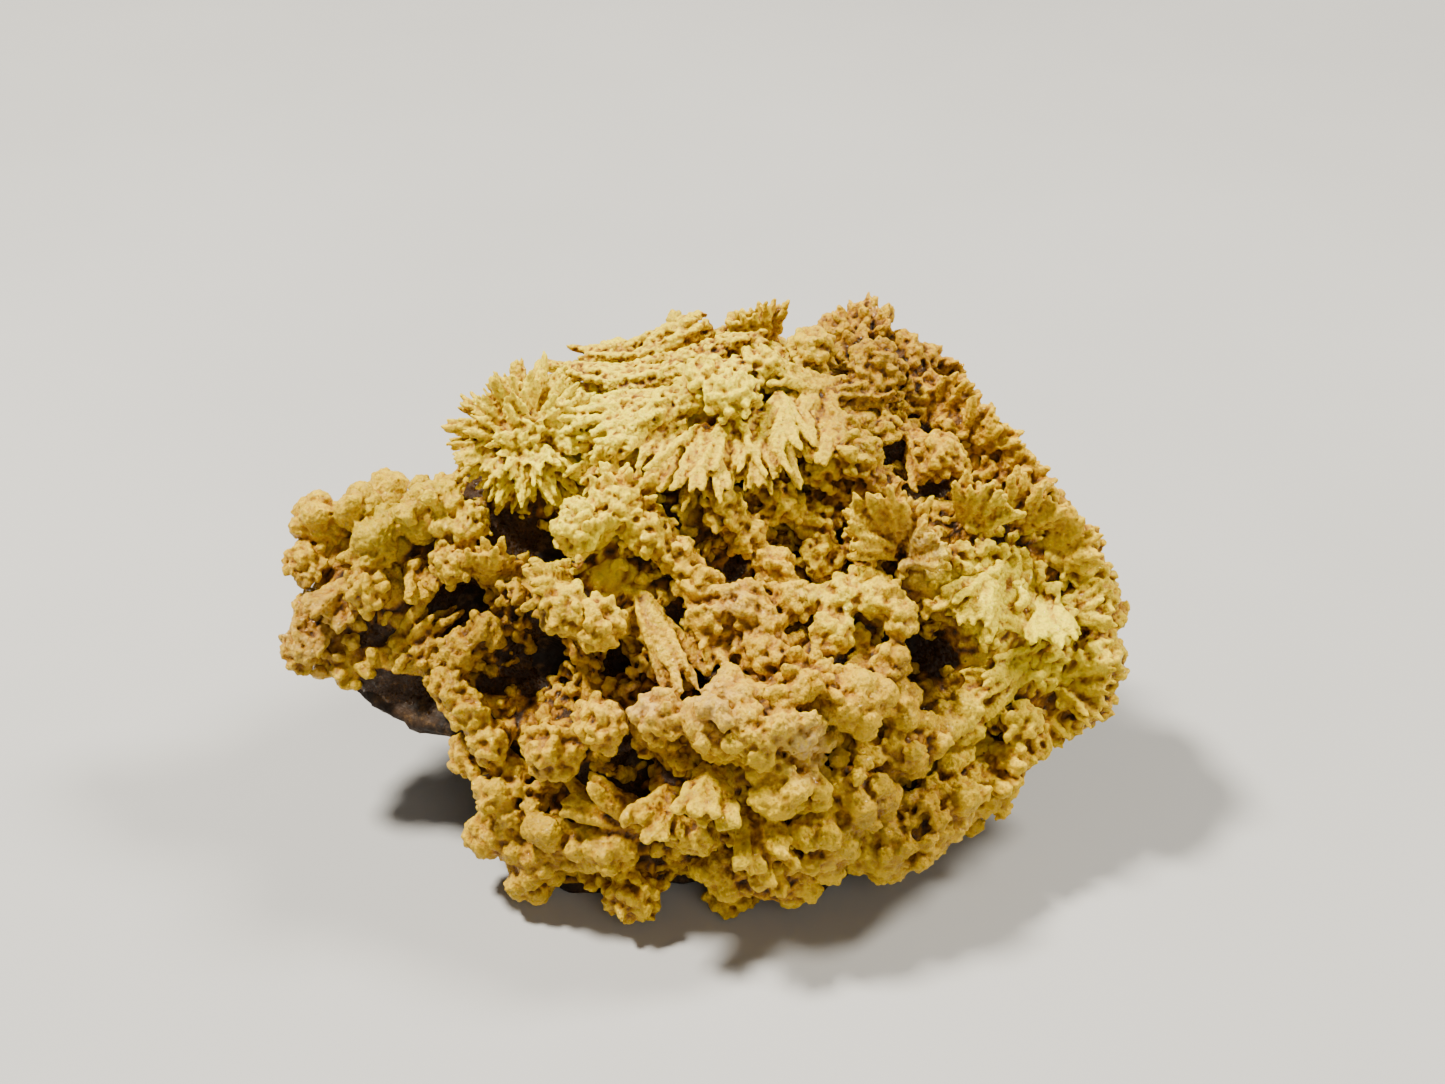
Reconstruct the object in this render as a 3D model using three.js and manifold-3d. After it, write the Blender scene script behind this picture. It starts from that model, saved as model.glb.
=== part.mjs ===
// Mimetite cluster: a small hand specimen, about 44 mm wide, 29 mm deep and 26 mm high.
// It is made of two pieces. The matrix is a broken lump of dark iron-oxide rock, which stands on a flat
// break. The mimetite crust is one solid of intergrown yellow crystal groups, which coats the front and the
// top of the rock, wraps round its back, and is open in a few pits where the rock shows.
//
// Everything is laid out in the frame of the show face: x runs across the face to the right, y up its slope
// and z straight out of it. standUp() then leans the face back and sets the specimen on the ground, with
// the origin in the middle of the flat break and +z up.
import * as THREE from "three";
import { mergeVertices } from "three/addons/utils/BufferGeometryUtils.js";
import Module from "manifold-3d";

const wasm = await Module();
wasm.setup();

// Driving dimensions, in millimetres and degrees.
const FACE_SLOPE = 52; // between the show face and the ground
const FACE_CENTRE = [0, 2.1, 11.6]; // where the middle of the body stands, in the part's frame
const FRONT_DEPTH = 6.5; // the body bulges this far out of the face plane
const BACK_DEPTH = 13; // and reaches this far behind it
const WING = { from: -9, to: -19, thickness: 0.5 }; // the left end thins to this share of the depth
const CRUST = 2.3; // thickness of the crust under the crystal groups
const GAP = 0.3; // between the crust and the matrix
const FEATHER = 0.7; // how far the crust's outer surface dips under the rock where the crust has ended
const TEETH = 4; // round the rim of a sheaf
const ROOT_DEPTH = 0.9; // how deep the sheaves' roots lie under the body's surface
const PIT = { depth: 1.4, floor: 1.25, thinning: 1.4 }; // hollow in the rock, flat floor, thinner crust
const EDGE = { level: -0.34, tilt: -0.42, wave: 0.07, waves: 5 }; // where the crust ends, as a share of z
const BARE_END = { angle: 206, spread: 17, rise: 0.5 }; // the crust ends sooner under the left end
const CRUST_DETAIL = 15; // subdivisions of the icosahedron that the crust's body is shaped from
const ROCK_DETAIL = 6; // and of the one for the rock
const FACE_SHARE = 0.2; // how far the crust's vertices are gathered towards the show face
const GRAIN = { height: 0.4, cells: 170 }; // roughness of the crust's surface
const SPREAD = { level: 6.5, perMillimetre: 0.009 }; // the layout widens behind this level of the face

// The body's outline in the face plane: angle from the right, counter-clockwise, and distance from the middle.
const OUTLINE = [
  [0, 21.2],
  [7, 20.7],
  [15, 18.9],
  [30, 17.5],
  [42, 16.2],
  [54, 15.7],
  [62, 15.9],
  [68, 15.8],
  [76, 14.6],
  [88, 15.1],
  [100, 14.5],
  [120, 14.4],
  [132, 14.2],
  [143, 14.4],
  [152, 15.4],
  [157, 16.8],
  [163, 19.6],
  [171, 20.9],
  [181, 21.6],
  [188, 20.8],
  [194, 18.2],
  [201, 16.6],
  [207, 14.6],
  [221, 14.2],
  [230, 16.0],
  [241, 16.5],
  [252, 16.1],
  [262, 15.1],
  [270, 14.4],
  [280, 15.3],
  [289, 16.1],
  [303, 15.9],
  [312, 16.4],
  [325, 16.8],
  [336, 17.3],
  [342, 20.0],
  [351, 21.4],
];

// Flat breaks of the rock behind the show face, each square to a direction: across, up, out, and the share of
// the body's depth that it leaves.
const BREAKS = [
  [-0.75, 0.35, -0.55, 0.84],
  [0.7, 0.45, -0.55, 0.86],
  [0.15, 0.85, -0.5, 0.88],
  [-0.2, 0.3, -0.93, 0.86],
  [0.45, -0.1, -0.88, 0.88],
  [-0.6, -0.35, -0.72, 0.86],
  [0.3, -0.75, -0.6, 0.9],
  [-0.1, -0.95, -0.3, 0.93],
  [0.85, -0.4, -0.3, 0.9],
  [-0.9, 0.1, -0.35, 0.9],
  [0.5, 0.8, -0.2, 0.92],
  [-0.45, 0.85, -0.25, 0.92],
];

// Swells and hollows of the show face: x, y, height and radius.
const SWELLS = [
  [9, 11, 4.2, 4.5],
  [1, 9.5, 2.4, 4],
  [-9, 8.5, 1.6, 4],
  [7, 5.2, -2.8, 3.6],
  [-5.5, 2, 2.2, 3.4],
  [-11, -1, -1.6, 3],
  [2, -7.5, 3.4, 6.5],
  [8, -5, 1.6, 3.5],
  [15, 2.5, 1.6, 4.5],
  [10.6, 2.8, 1.4, 2.6],
];

// Open pits in the crust: x, y and radius.
const PITS = [
  [-8.6, 4.1, 1.8],
  [-13.6, 0.5, 1.5],
  [-9.2, -2.9, 1.6],
  [-4.7, -2.5, 1.1],
  [3.0, 7.2, 1.9],
  [10.2, 6.6, 1.6],
  [11.9, -2.1, 1.6],
  [-3.6, -9.2, 1.2],
  [0.2, -2.9, 0.9],
];

// Half balls of radiating needles: x, y, lift of the centre above the body and radius.
const SPRAYS = [
  [-8.2, 8.3, 0.3, 4.1],
  [8.7, 12.9, -0.4, 2.9],
];

// Long ribs of side-by-side crystals: x and y of each end, lift, radius and sideways bow.
const RIBS = [
  [1.0, 14.6, -7.2, 12.4, 0.6, 1.1, 0.7],
  [3.6, 13.4, -7.4, 11.2, 1.1, 1.2, 0.7],
  [2.4, 11.9, -6.4, 9.6, 1.0, 1.0, 0.5],
  [-1.6, 10.4, -4.9, 8.3, 1.2, 0.8, 0.2],
  [9.8, 11.2, 3.4, 11.9, 0.4, 0.9, 0.8],
  [3.8, 0.1, 8.4, -0.7, 0.3, 0.7, -0.4],
  [0.7, -12.8, 5.0, -12.5, 0.2, 1.1, -0.3],
  [-8.3, -12.0, -4.4, -11.7, 0.1, 1.0, 0.3],
];

// Fans and tufts of crystals that lie in the crust's surface: x, y and lift of the root; heading in the face
// plane and rise out of it; length; half spread across the fan.
const FANS = [
  [2.4, 10.4, 0.8, -85, 25, 4.0, 26],
  [-3.6, 8.6, 0.2, -130, 25, 3.2, 24],
  [7.0, 10.2, 0.2, -100, 30, 3.2, 30],
  [3.4, 13.2, -0.6, 110, 40, 2.6, 40],
  [10.8, 11.6, -0.4, 40, 35, 2.4, 34],
  [12.0, 9.6, 0.0, 40, 40, 2.8, 34],
  [13.4, 8.0, 0.0, 42, 40, 2.8, 34],
  [15.0, 6.2, 0.0, 35, 40, 2.6, 36],
  [10.6, 9.2, -0.2, -60, 35, 3.0, 30],
  [7.4, 7.4, -0.8, 120, 55, 2.8, 40],
  [5.6, 6.0, -0.6, 140, 50, 2.8, 38],
  [3.8, 4.8, -0.2, 130, 50, 2.6, 38],
  [6.6, 4.0, -0.2, 110, 55, 2.4, 40],
  [10.4, 2.6, 0.2, 30, 60, 2.6, 34],
  [13.4, 4.0, -0.4, 60, 50, 3.0, 36],
  [15.8, 3.8, -0.2, 60, 40, 3.2, 36],
  [17.4, 2.4, -0.6, 35, 35, 3.0, 36],
  [17.2, 0.9, -0.2, -80, 35, 3.0, 34],
  [17.0, -2.4, 0.0, -150, 25, 3.6, 22],
  [18.4, -0.2, -0.6, 15, 30, 2.4, 38],
  [17.8, -3.6, -0.6, -15, 30, 2.8, 40],
  [17.0, -4.6, -0.8, -75, 25, 2.6, 36],
  [-5.4, 3.2, 0.2, 100, 60, 2.6, 42],
  [-6.4, 1.6, 0.2, -160, 50, 2.8, 38],
  [-3.4, 1.4, 0.0, -62, 20, 5.6, 12],
  [-10.4, 1.4, -0.2, 95, 45, 2.4, 36],
  [-18.4, 0.8, -0.4, -125, 20, 2.8, 26],
  [-17.2, 2.0, 0.0, -125, 30, 3.0, 28],
  [-14.4, 3.2, -0.4, -60, 40, 3.0, 34],
  [5.8, -1.0, 0.0, -120, 50, 2.6, 38],
  [8.4, -1.6, 0.2, -100, 40, 2.8, 30],
  [1.4, 0.2, -0.2, -100, 45, 3.2, 30],
  [-1.4, -8.8, 0.2, -120, 40, 2.8, 34],
  [0.4, -7.6, 0.2, -95, 45, 3.2, 32],
  [2.2, -9.6, 0.4, -70, 35, 3.2, 32],
  [-7.2, -7.6, 0.2, -40, 12, 5.2, 14],
  [14.6, -6.2, -0.4, -30, 35, 3.0, 36],
  [13.4, -7.4, 0.0, -20, 40, 3.0, 34],
];

// Sheaves that stand free of the surface: the same numbers, and the half spread through the sheaf.
const SHEAVES = [
  [0.4, 9.6, 0.6, -108, 30, 4.6, 34, 20],
  [-1.8, 9.6, 0.4, -128, 28, 3.8, 26, 18],
  [2.8, 10.4, 1.0, -82, 25, 4.4, 24, 18],
  [5.2, 11.6, 0.4, -92, 28, 3.8, 30, 20],
  [10.3, 2.8, 0.2, 142, 30, 4.0, 17, 13],
  [10.3, 2.8, 0.2, 112, 38, 4.0, 15, 12],
  [10.3, 2.8, 0.2, 166, 35, 3.4, 15, 12],
  [10.4, 2.8, 0.2, 82, 45, 3.2, 16, 14],
  [14.8, 1.8, 0.2, -130, 35, 3.4, 36, 16],
  [18.2, -1.4, 0.0, 172, 26, 5.0, 26, 14],
  [16.6, -3.2, 0.0, 198, 22, 3.4, 22, 12],
  [-17.2, -3.4, 0.0, 38, 20, 6.4, 20, 14],
  [-4.0, 5.0, 0.4, 75, 62, 2.6, 40, 30],
  [5.0, -4.2, 0.2, 60, 60, 2.8, 40, 30],
  [2.2, -10.4, 0.4, -62, 25, 3.6, 26, 16],
];

// Rounded knobs: x, y, lift of the centre above the body and radius.
const KNOBS = [
  [11.2, 10.6, -0.6, 1.6],
  [13.0, 9.0, -0.6, 1.6],
  [15.0, 7.0, -0.6, 1.6],
  [16.8, 5.0, -0.6, 1.7],
  [18.6, 2.8, -0.8, 1.8],
  [19.8, 0.2, -0.8, 1.7],
  [19.9, -2.4, -0.8, 1.7],
  [18.6, -4.8, -0.8, 1.6],
  [2.4, 13.8, -3.0, 1.7],
  [5.6, 13.0, 0.2, 1.2],
  [7.0, 14.0, 0.4, 1.1],
  [8.8, 12.0, 1.0, 1.5],
  [10.4, 12.4, 0.6, 1.4],
  [0.2, 11.4, 0.4, 1.3],
  [3.0, 12.0, 0.8, 1.2],
  [1.6, 10.6, 1.0, 1.3],
  [12.0, 7.6, 0.2, 1.2],
  [9.0, 6.0, 0.0, 1.1],
  [1.2, 5.0, 0.4, 1.2],
  [2.2, 3.8, 0.2, 1.1],
  [-4.0, 5.2, 0.8, 1.5],
  [-5.8, 4.2, 1.0, 1.4],
  [-2.6, 4.0, 0.6, 1.3],
  [-6.6, 0.2, 1.0, 1.3],
  [-5.0, -0.6, 1.0, 1.3],
  [-1.2, 2.8, 0.4, 1.1],
  [-0.2, 1.4, 0.4, 1.1],
  [2.0, 0.4, 0.6, 1.2],
  [3.2, -2.2, 0.2, 1.2],
  [1.6, -4.2, 0.2, 1.1],
  [5.0, -3.4, 0.4, 1.3],
  [7.6, -4.4, 0.8, 1.6],
  [9.4, -2.6, 0.2, 1.0],
  [9.8, -0.4, 0.6, 1.0],
  [8.2, 1.2, 0.4, 1.1],
  [9.8, -4.6, 0.2, 1.1],
  [3.8, -5.6, 0.6, 1.9],
  [0.8, -5.4, 0.6, 1.7],
  [-2.0, -5.0, 0.8, 1.4],
  [-4.8, -5.4, 0.8, 1.4],
  [-7.2, -6.6, 0.8, 1.6],
  [-0.4, -10.8, 0.6, 1.2],
  [-9.6, -9.0, 0.6, 1.5],
  [-9.9, -10.8, 0.3, 1.6],
  [-7.8, -10.6, 0.6, 0.9],
  [-8.4, -12.8, 0.3, 1.7],
  [7.6, -8.8, 0.6, 1.9],
  [5.8, -10.8, 0.8, 2.0],
  [8.4, -11.4, 0.6, 1.7],
  [4.2, -8.4, 0.4, 1.6],
  [4.6, -13.5, 0.4, 1.5],
  [1.4, -14.2, 0.2, 1.3],
  [-3.4, -13.8, 0.4, 1.5],
  [10.2, -6.6, 0.4, 1.5],
  [12.8, -5.4, 0.2, 1.2],
  [12.2, -9.0, 0.8, 1.7],
  [10.2, -10.6, 0.8, 2.0],
  [13.8, -9.0, 0.6, 1.5],
  [15.8, -5.6, 0.0, 1.1],
  [19.6, 1.4, 0.0, 1.3],
  [19.8, -2.2, 0.0, 1.3],
  [19.6, -4.4, 0.0, 1.4],
  [17.8, 4.6, 0.2, 1.3],
  [-18.8, 4.8, 0.0, 1.4],
  [-17.0, 5.2, 0.2, 1.3],
  [-15.6, 6.4, 0.0, 0.9],
  [-19.6, 2.6, -0.2, 1.2],
  [-16.0, 3.6, 0.6, 1.4],
  [-13.2, 5.2, 0.6, 1.8],
  [-11.4, 4.4, 0.0, 1.1],
  [-16.4, 1.2, 0.6, 1.3],
  [-12.2, 2.6, 0.0, 1.2],
  [-10.6, -0.8, 0.6, 1.0],
  [-11.8, -1.8, 0.4, 1.1],
  [-12.4, -3.6, 0.4, 1.1],
  [-11.4, -4.8, 0.6, 1.1],
  [-10.4, -6.2, 0.6, 1.2],
  [-11.6, -7.0, 0.0, 1.1],
  [-19.8, -1.6, -0.2, 1.2],
];

// The groups that coat the back and the sides: how many are tried over the whole body, and their sizes.
const BACK_GROUPS = {
  tried: 130,
  furthestForward: 0.12,
  knobShare: 0.65,
  radius: [1.3, 2.3],
  sheafLength: [2.6, 3.8],
  sheafSpread: { wide: 36, thick: 24 },
};

const DEG = Math.PI / 180;

function smoothStep(low, high, value) {
  const t = Math.min(1, Math.max(0, (value - low) / (high - low)));
  return t * t * (3 - 2 * t);
}

// A repeatable number from 0 to 1 for each seed.
function chance(seed) {
  const s = Math.sin(seed * 12.9898 + 4.1414) * 43758.5453;
  return s - Math.floor(s);
}

function outlineRadius(angle) {
  const turned = (angle / DEG + 360) % 360;
  const next = OUTLINE.findIndex(([a]) => a > turned);
  const [a1, r1] = OUTLINE[(next + OUTLINE.length) % OUTLINE.length];
  const [a0, r0] = OUTLINE.at(next < 0 ? -1 : next - 1);
  const share = (turned - a0) / ((a1 - a0 + 360) % 360);
  return r0 + (r1 - r0) * smoothStep(0, 1, share);
}

function bump(x, y, [cx, cy, height, radius]) {
  return height * Math.exp(-((x - cx) ** 2 + (y - cy) ** 2) / radius ** 2);
}

function pitShare(x, y) {
  const depths = PITS.map(([cx, cy, radius]) => bump(x, y, [cx, cy, PIT.floor, radius]));
  return Math.min(1, Math.max(...depths));
}

function thinning(x) {
  return 1 - (1 - WING.thickness) * smoothStep(-WING.from, -WING.to, -x);
}

// How far the body stands out of the face plane above the point x, y of the show face.
function faceHeight(x, y) {
  const share = Math.hypot(x, y) / outlineRadius(Math.atan2(y, x));
  const swell = SWELLS.reduce((sum, s) => sum + bump(x, y, s), 0);
  return (FRONT_DEPTH * thinning(x) + swell) * Math.sqrt(Math.max(0, 1 - share ** 2));
}

// A fan as rods of balls that grow towards their tips, in the plane across the direction it is aimed in.
function fanBalls([x, y, lift, heading, rise, length, wide], seed) {
  const root = onFace(x, y, lift - ROOT_DEPTH);
  const balls = [];
  for (let rod = -2; rod <= 2; rod++) {
    const along = aim(heading + (rod / 2) * wide, rise - 6 * Math.abs(rod));
    const reach = (length + ROOT_DEPTH) * (0.86 + 0.22 * chance(seed * 5 + rod));
    for (const t of [0.45, 0.65, 0.83, 1]) {
      const radius = 0.3 + 0.4 * t;
      balls.push({ centre: along.clone().multiplyScalar(t * reach - radius).add(root), radius });
    }
  }
  return balls;
}

// A point of the body along a unit direction, moved out of the surface by offset.
function bodyPoint(d, offset) {
  const across = outlineRadius(Math.atan2(d.y, d.x)) + offset;
  const x = across * d.x;
  const y = across * d.y;
  const depth = (d.z > 0 ? FRONT_DEPTH : BACK_DEPTH) * thinning(x) + offset;
  const swell = SWELLS.reduce((sum, s) => sum + bump(x, y, s), 0);
  return new THREE.Vector3(x, y, depth * d.z + swell * Math.max(0, d.z));
}

// 1 where the crust covers the rock and 0 where it has ended: it goes far round the back at the top,
// and stops short of the rim at the bottom and under the left end.
function coverAlong(d) {
  const angle = Math.atan2(d.y, d.x);
  const turned = (angle / DEG + 360) % 360;
  const bareEnd = BARE_END.rise * Math.exp(-(((turned - BARE_END.angle) / BARE_END.spread) ** 2));
  const wave = EDGE.wave * Math.sin(EDGE.waves * angle + 1);
  const edge = EDGE.level + EDGE.tilt * Math.sin(angle) + bareEnd + wave;
  return smoothStep(edge - 0.06, edge + 0.22, d.z);
}

// The body's solid, with each vertex moved out of the surface by what offsetAt gives for its direction.
function shapedBody(detail, gathered, offsetAt) {
  const ball = new THREE.IcosahedronGeometry(1, detail);
  return solid(
    reshaped(ball, (v) => {
      const d = v.clone().add(new THREE.Vector3(0, 0, gathered)).normalize();
      return bodyPoint(d, offsetAt(d));
    }),
  );
}

// How far out along d from the point the surface of a ball lies, or none where the ball isn't met.
function ballAlong(point, d, centre, radius) {
  const toCentre = centre.clone().sub(point);
  const along = toCentre.dot(d);
  const missSquared = toCentre.lengthSq() - along ** 2;
  return missSquared < radius ** 2 ? along + Math.sqrt(radius ** 2 - missSquared) : -Infinity;
}

function pitsAlong(d) {
  const at = bodyPoint(d, 0);
  return d.z > 0 ? pitShare(at.x, at.y) : 0;
}

// How deep the flat breaks cut into the body along a direction.
function breakDepth(d) {
  const shares = BREAKS.map(([x, y, z, share]) => {
    const facing = d.dot(new THREE.Vector3(x, y, z).normalize());
    return facing > 0 ? share / facing : 1;
  });
  return BACK_DEPTH * (1 - Math.min(1, ...shares));
}

function rockOffset(d) {
  return -CRUST * coverAlong(d) - PIT.depth * pitsAlong(d) - breakDepth(d);
}

function crustOffset(d) {
  const cover = coverAlong(d);
  const thickness = CRUST * cover * (1 - PIT.thinning * pitsAlong(d)) - FEATHER * (1 - cover);
  const plain = rockOffset(d) + thickness;
  if (cover < 0.5) return plain;
  const point = bodyPoint(d, 0);
  const swollen = swellings.map(({ centre, radius }) => ballAlong(point, d, centre, radius));
  const cell = d.clone().multiplyScalar(GRAIN.cells).round();
  const grain = chance(cell.x + 3.1 * cell.y + 7.3 * cell.z);
  return Math.max(plain, ...swollen) + GRAIN.height * (grain - 0.5);
}

// A closed geometry as a solid that can be joined and cut.
function solid(geometry) {
  const bare = geometry.clone();
  bare.deleteAttribute("normal");
  bare.deleteAttribute("uv");
  const merged = mergeVertices(bare, 1e-4);
  const corners = merged.index.array;
  const kept = [];
  for (let i = 0; i < corners.length; i += 3) {
    const [a, b, c] = corners.slice(i, i + 3);
    if (a !== b && b !== c && c !== a) kept.push(a, b, c);
  }
  const mesh = new wasm.Mesh({
    numProp: 3,
    vertProperties: merged.getAttribute("position").array,
    triVerts: new Uint32Array(kept),
  });
  return new wasm.Manifold(mesh);
}

// Moves each vertex of a geometry to where the function puts it.
function reshaped(geometry, move) {
  const place = geometry.getAttribute("position");
  const at = new THREE.Vector3();
  for (let i = 0; i < place.count; i++) {
    at.fromBufferAttribute(place, i);
    place.setXYZ(i, ...move(at).toArray());
  }
  return geometry;
}

// The direction that heads this way in the face plane and rises this far out of it.
function aim(heading, rise) {
  const h = heading * DEG;
  const r = rise * DEG;
  return new THREE.Vector3(Math.cos(h) * Math.cos(r), Math.sin(h) * Math.cos(r), Math.sin(r));
}

// Turns local x, y, z to across, through and along a group that grows towards `along`.
function groupTurn(along, outward) {
  const across = new THREE.Vector3().crossVectors(outward, along);
  if (across.lengthSq() < 1e-4) across.set(1, 0, 0);
  across.normalize();
  const through = new THREE.Vector3().crossVectors(along, across);
  return new THREE.Matrix4().makeBasis(across, through, along);
}

// A sheaf with a toothed rim: a cylinder whose far end is spread like a fan, every other tooth shorter.
function sheafAt(root, along, outward, length, wide, thick) {
  const rim = 2 * TEETH;
  const cylinder = new THREE.CylinderGeometry(1, 1, 1, rim, 1);
  const turn = groupTurn(along, outward);
  return reshaped(cylinder, (v) => {
    const t = v.y + 0.5;
    const ring = Math.atan2(-v.z, v.x);
    const outer = Math.min(1, Math.hypot(v.x, v.z));
    const tooth = Math.round((ring / (2 * Math.PI)) * rim + rim) % 2;
    const reach = outer < 0.5 ? 0.98 : t > 0.9 && tooth ? 0.78 : t > 0.9 ? 0.97 : 1;
    const sideways = wide * DEG * outer * Math.cos(ring) * (0.35 + 0.65 * t);
    const depthwise = thick * DEG * outer * Math.sin(ring) * (0.35 + 0.65 * t);
    const far = length * (0.12 + 0.88 * t) * reach;
    const local = new THREE.Vector3(
      Math.sin(sideways) * far + 0.3 * outer * Math.cos(ring),
      Math.sin(depthwise) * far + 0.3 * outer * Math.sin(ring),
      Math.cos(sideways) * Math.cos(depthwise) * far,
    );
    return local.applyMatrix4(turn).add(root);
  });
}

// A half ball of needles: an icosahedron whose every face is drawn out to a spike.
function sprayAt(centre, radius, seed) {
  const ball = new THREE.IcosahedronGeometry(radius * 0.86, 1);
  const corner = ball.getAttribute("position");
  const points = [];
  for (let i = 0; i < corner.count; i += 3) {
    const face = [0, 1, 2].map((k) => new THREE.Vector3().fromBufferAttribute(corner, i + k));
    const spike = face[0].clone().add(face[1]).add(face[2]);
    spike.setLength(radius * (1.0 + 0.12 * chance(seed + i)));
    for (let k = 0; k < 3; k++) points.push(face[k], face[(k + 1) % 3], spike);
  }
  const spiked = new THREE.BufferGeometry().setFromPoints(points);
  return spiked.translate(...centre.toArray());
}

// A rib: a capsule bowed sideways and pinched along its length.
function ribAt(start, end, radius, bow, seed) {
  const length = start.distanceTo(end);
  const along = end.clone().sub(start).normalize();
  const turn = groupTurn(along, new THREE.Vector3(0, 0, 1));
  const capsule = new THREE.CylinderGeometry(0.6, 0.6, 1, 6, 6);
  return reshaped(capsule, (v) => {
    const t = v.y + 0.5;
    const swell = 0.55 + 0.45 * Math.sin(Math.PI * t) + 0.22 * (chance(seed + Math.round(6 * t)) - 0.5);
    const side = bow * Math.sin(Math.PI * t);
    const local = new THREE.Vector3(
      (v.x / 0.6) * radius * swell + side,
      (-v.z / 0.6) * radius * swell,
      length * t,
    );
    return local.applyMatrix4(turn).add(start);
  });
}

// A point of the show face from its layout numbers.
function onFace(x, y, lift) {
  const spread = 1 + SPREAD.perMillimetre * (SPREAD.level - faceHeight(x, y));
  return new THREE.Vector3(x * spread, y * spread, faceHeight(x * spread, y * spread) + lift);
}

// The groups of the show face, as geometries.
function faceGroups() {
  const outward = new THREE.Vector3(0, 0, 1);
  const made = [];
  SPRAYS.forEach(([x, y, lift, radius], i) => made.push(sprayAt(onFace(x, y, lift), radius, i)));
  RIBS.forEach(([x0, y0, x1, y1, lift, radius, bow], i) => {
    made.push(ribAt(onFace(x0, y0, lift), onFace(x1, y1, lift), radius, bow, 40 + i));
  });
  SHEAVES.forEach(([x, y, lift, heading, rise, length, wide, thick]) => {
    const along = aim(heading, rise);
    made.push(sheafAt(onFace(x, y, lift - ROOT_DEPTH), along, outward, length + ROOT_DEPTH, wide, thick));
  });
  return made;
}

// The knobs and sheaves of the back and the sides, spread evenly wherever the crust covers the body.
function backGroups() {
  const made = { knobs: [], sheaves: [] };
  const { tried, furthestForward, knobShare, radius, sheafLength, sheafSpread } = BACK_GROUPS;
  for (let i = 0; i < tried; i++) {
    const z = 1 - (2 * (i + 0.5)) / tried;
    const turn = i * Math.PI * (3 - Math.sqrt(5));
    const level = Math.sqrt(1 - z * z);
    const d = new THREE.Vector3(level * Math.cos(turn), level * Math.sin(turn), z);
    if (z > furthestForward || coverAlong(d) < 0.85) continue;
    const at = bodyPoint(d, -0.6 - breakDepth(d));
    const outward = at.clone().multiply(new THREE.Vector3(1, 1.6, 2)).normalize();
    if (chance(i) < knobShare) {
      made.knobs.push({ centre: at, radius: radius[0] + (radius[1] - radius[0]) * chance(i + 0.5) });
      continue;
    }
    const sideways = aim(360 * chance(i + 0.3), 0).multiplyScalar(0.7);
    const along = outward.clone().add(sideways).normalize();
    const length = sheafLength[0] + (sheafLength[1] - sheafLength[0]) * chance(i + 0.7);
    made.sheaves.push(sheafAt(at, along, outward, length, sheafSpread.wide, sheafSpread.thick));
  }
  return made;
}

// Leans the face back, stands the solid on the ground and cuts it off at that height.
function standUp(shape, height) {
  const stood = shape.rotate([FACE_SLOPE, 0, 0]).translate(FACE_CENTRE);
  return stood.trimByPlane([0, 0, 1], height);
}

// Joins everything that overlaps and keeps the one large solid.
function largest(shape) {
  return shape.decompose().sort((a, b) => b.volume() - a.volume())[0];
}

function namedMesh(name, shape, colour, roughness) {
  const { vertProperties, triVerts } = shape.getMesh();
  const geometry = new THREE.BufferGeometry();
  geometry.setAttribute("position", new THREE.BufferAttribute(vertProperties, 3));
  geometry.setIndex(new THREE.BufferAttribute(triVerts, 1));
  geometry.computeVertexNormals();
  const material = new THREE.MeshStandardMaterial({ color: colour, roughness, metalness: 0 });
  const mesh = new THREE.Mesh(geometry, material);
  mesh.name = name;
  return mesh;
}

const FINEST = 0.03; // edges shorter than this are closed up after the joins

const back = backGroups();
const faceKnobs = KNOBS.map(([x, y, lift, radius]) => ({ centre: onFace(x, y, lift), radius }));
const swellings = [...faceKnobs, ...back.knobs, ...FANS.flatMap(fanBalls)];
const groups = [...faceGroups(), ...back.sheaves].map(solid);

const rock = shapedBody(ROCK_DETAIL, 0, rockOffset);
const rockWithGap = shapedBody(ROCK_DETAIL, 0, (d) => rockOffset(d) + GAP);
const crustBody = shapedBody(CRUST_DETAIL, FACE_SHARE, crustOffset);
const crust = wasm.Manifold.union([crustBody, ...groups]).subtract(rockWithGap);

const specimen = new THREE.Group();
specimen.name = "mimetite_cluster";
specimen.add(namedMesh("matrix", standUp(rock, 0), 0x2c2018, 0.9));
specimen.add(
  namedMesh("mimetite_crust", largest(standUp(crust, GAP).simplify(FINEST)), 0xdcb648, 0.55),
);

export default specimen;
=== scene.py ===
"""Looks of the mimetite cluster: a crust of radiating yellow crystals over a dark broken matrix.

Everything is grown in the layout frame of the show face, in millimetres: x across the face to the right,
y up its slope and z straight out of it. to_world() leans the face back and gives metres in the row frame.
"""
import math

import bpy
import numpy as np
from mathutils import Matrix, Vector, kdtree, noise
from mathutils.bvhtree import BVHTree


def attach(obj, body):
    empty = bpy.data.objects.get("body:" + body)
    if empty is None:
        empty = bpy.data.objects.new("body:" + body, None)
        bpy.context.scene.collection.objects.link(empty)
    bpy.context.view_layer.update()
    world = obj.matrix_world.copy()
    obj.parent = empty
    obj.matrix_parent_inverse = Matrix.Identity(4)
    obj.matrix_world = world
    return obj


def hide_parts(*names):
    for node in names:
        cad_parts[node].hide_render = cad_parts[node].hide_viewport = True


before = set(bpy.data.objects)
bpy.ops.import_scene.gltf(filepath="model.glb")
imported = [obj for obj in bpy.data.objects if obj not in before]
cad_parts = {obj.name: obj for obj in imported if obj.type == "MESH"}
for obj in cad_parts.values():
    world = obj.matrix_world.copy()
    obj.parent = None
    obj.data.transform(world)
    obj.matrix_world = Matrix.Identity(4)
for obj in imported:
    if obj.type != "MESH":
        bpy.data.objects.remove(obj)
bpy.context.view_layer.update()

MM = 0.001
GOLDEN = math.pi * (3 - math.sqrt(5))
RNG = np.random.default_rng(619)

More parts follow.
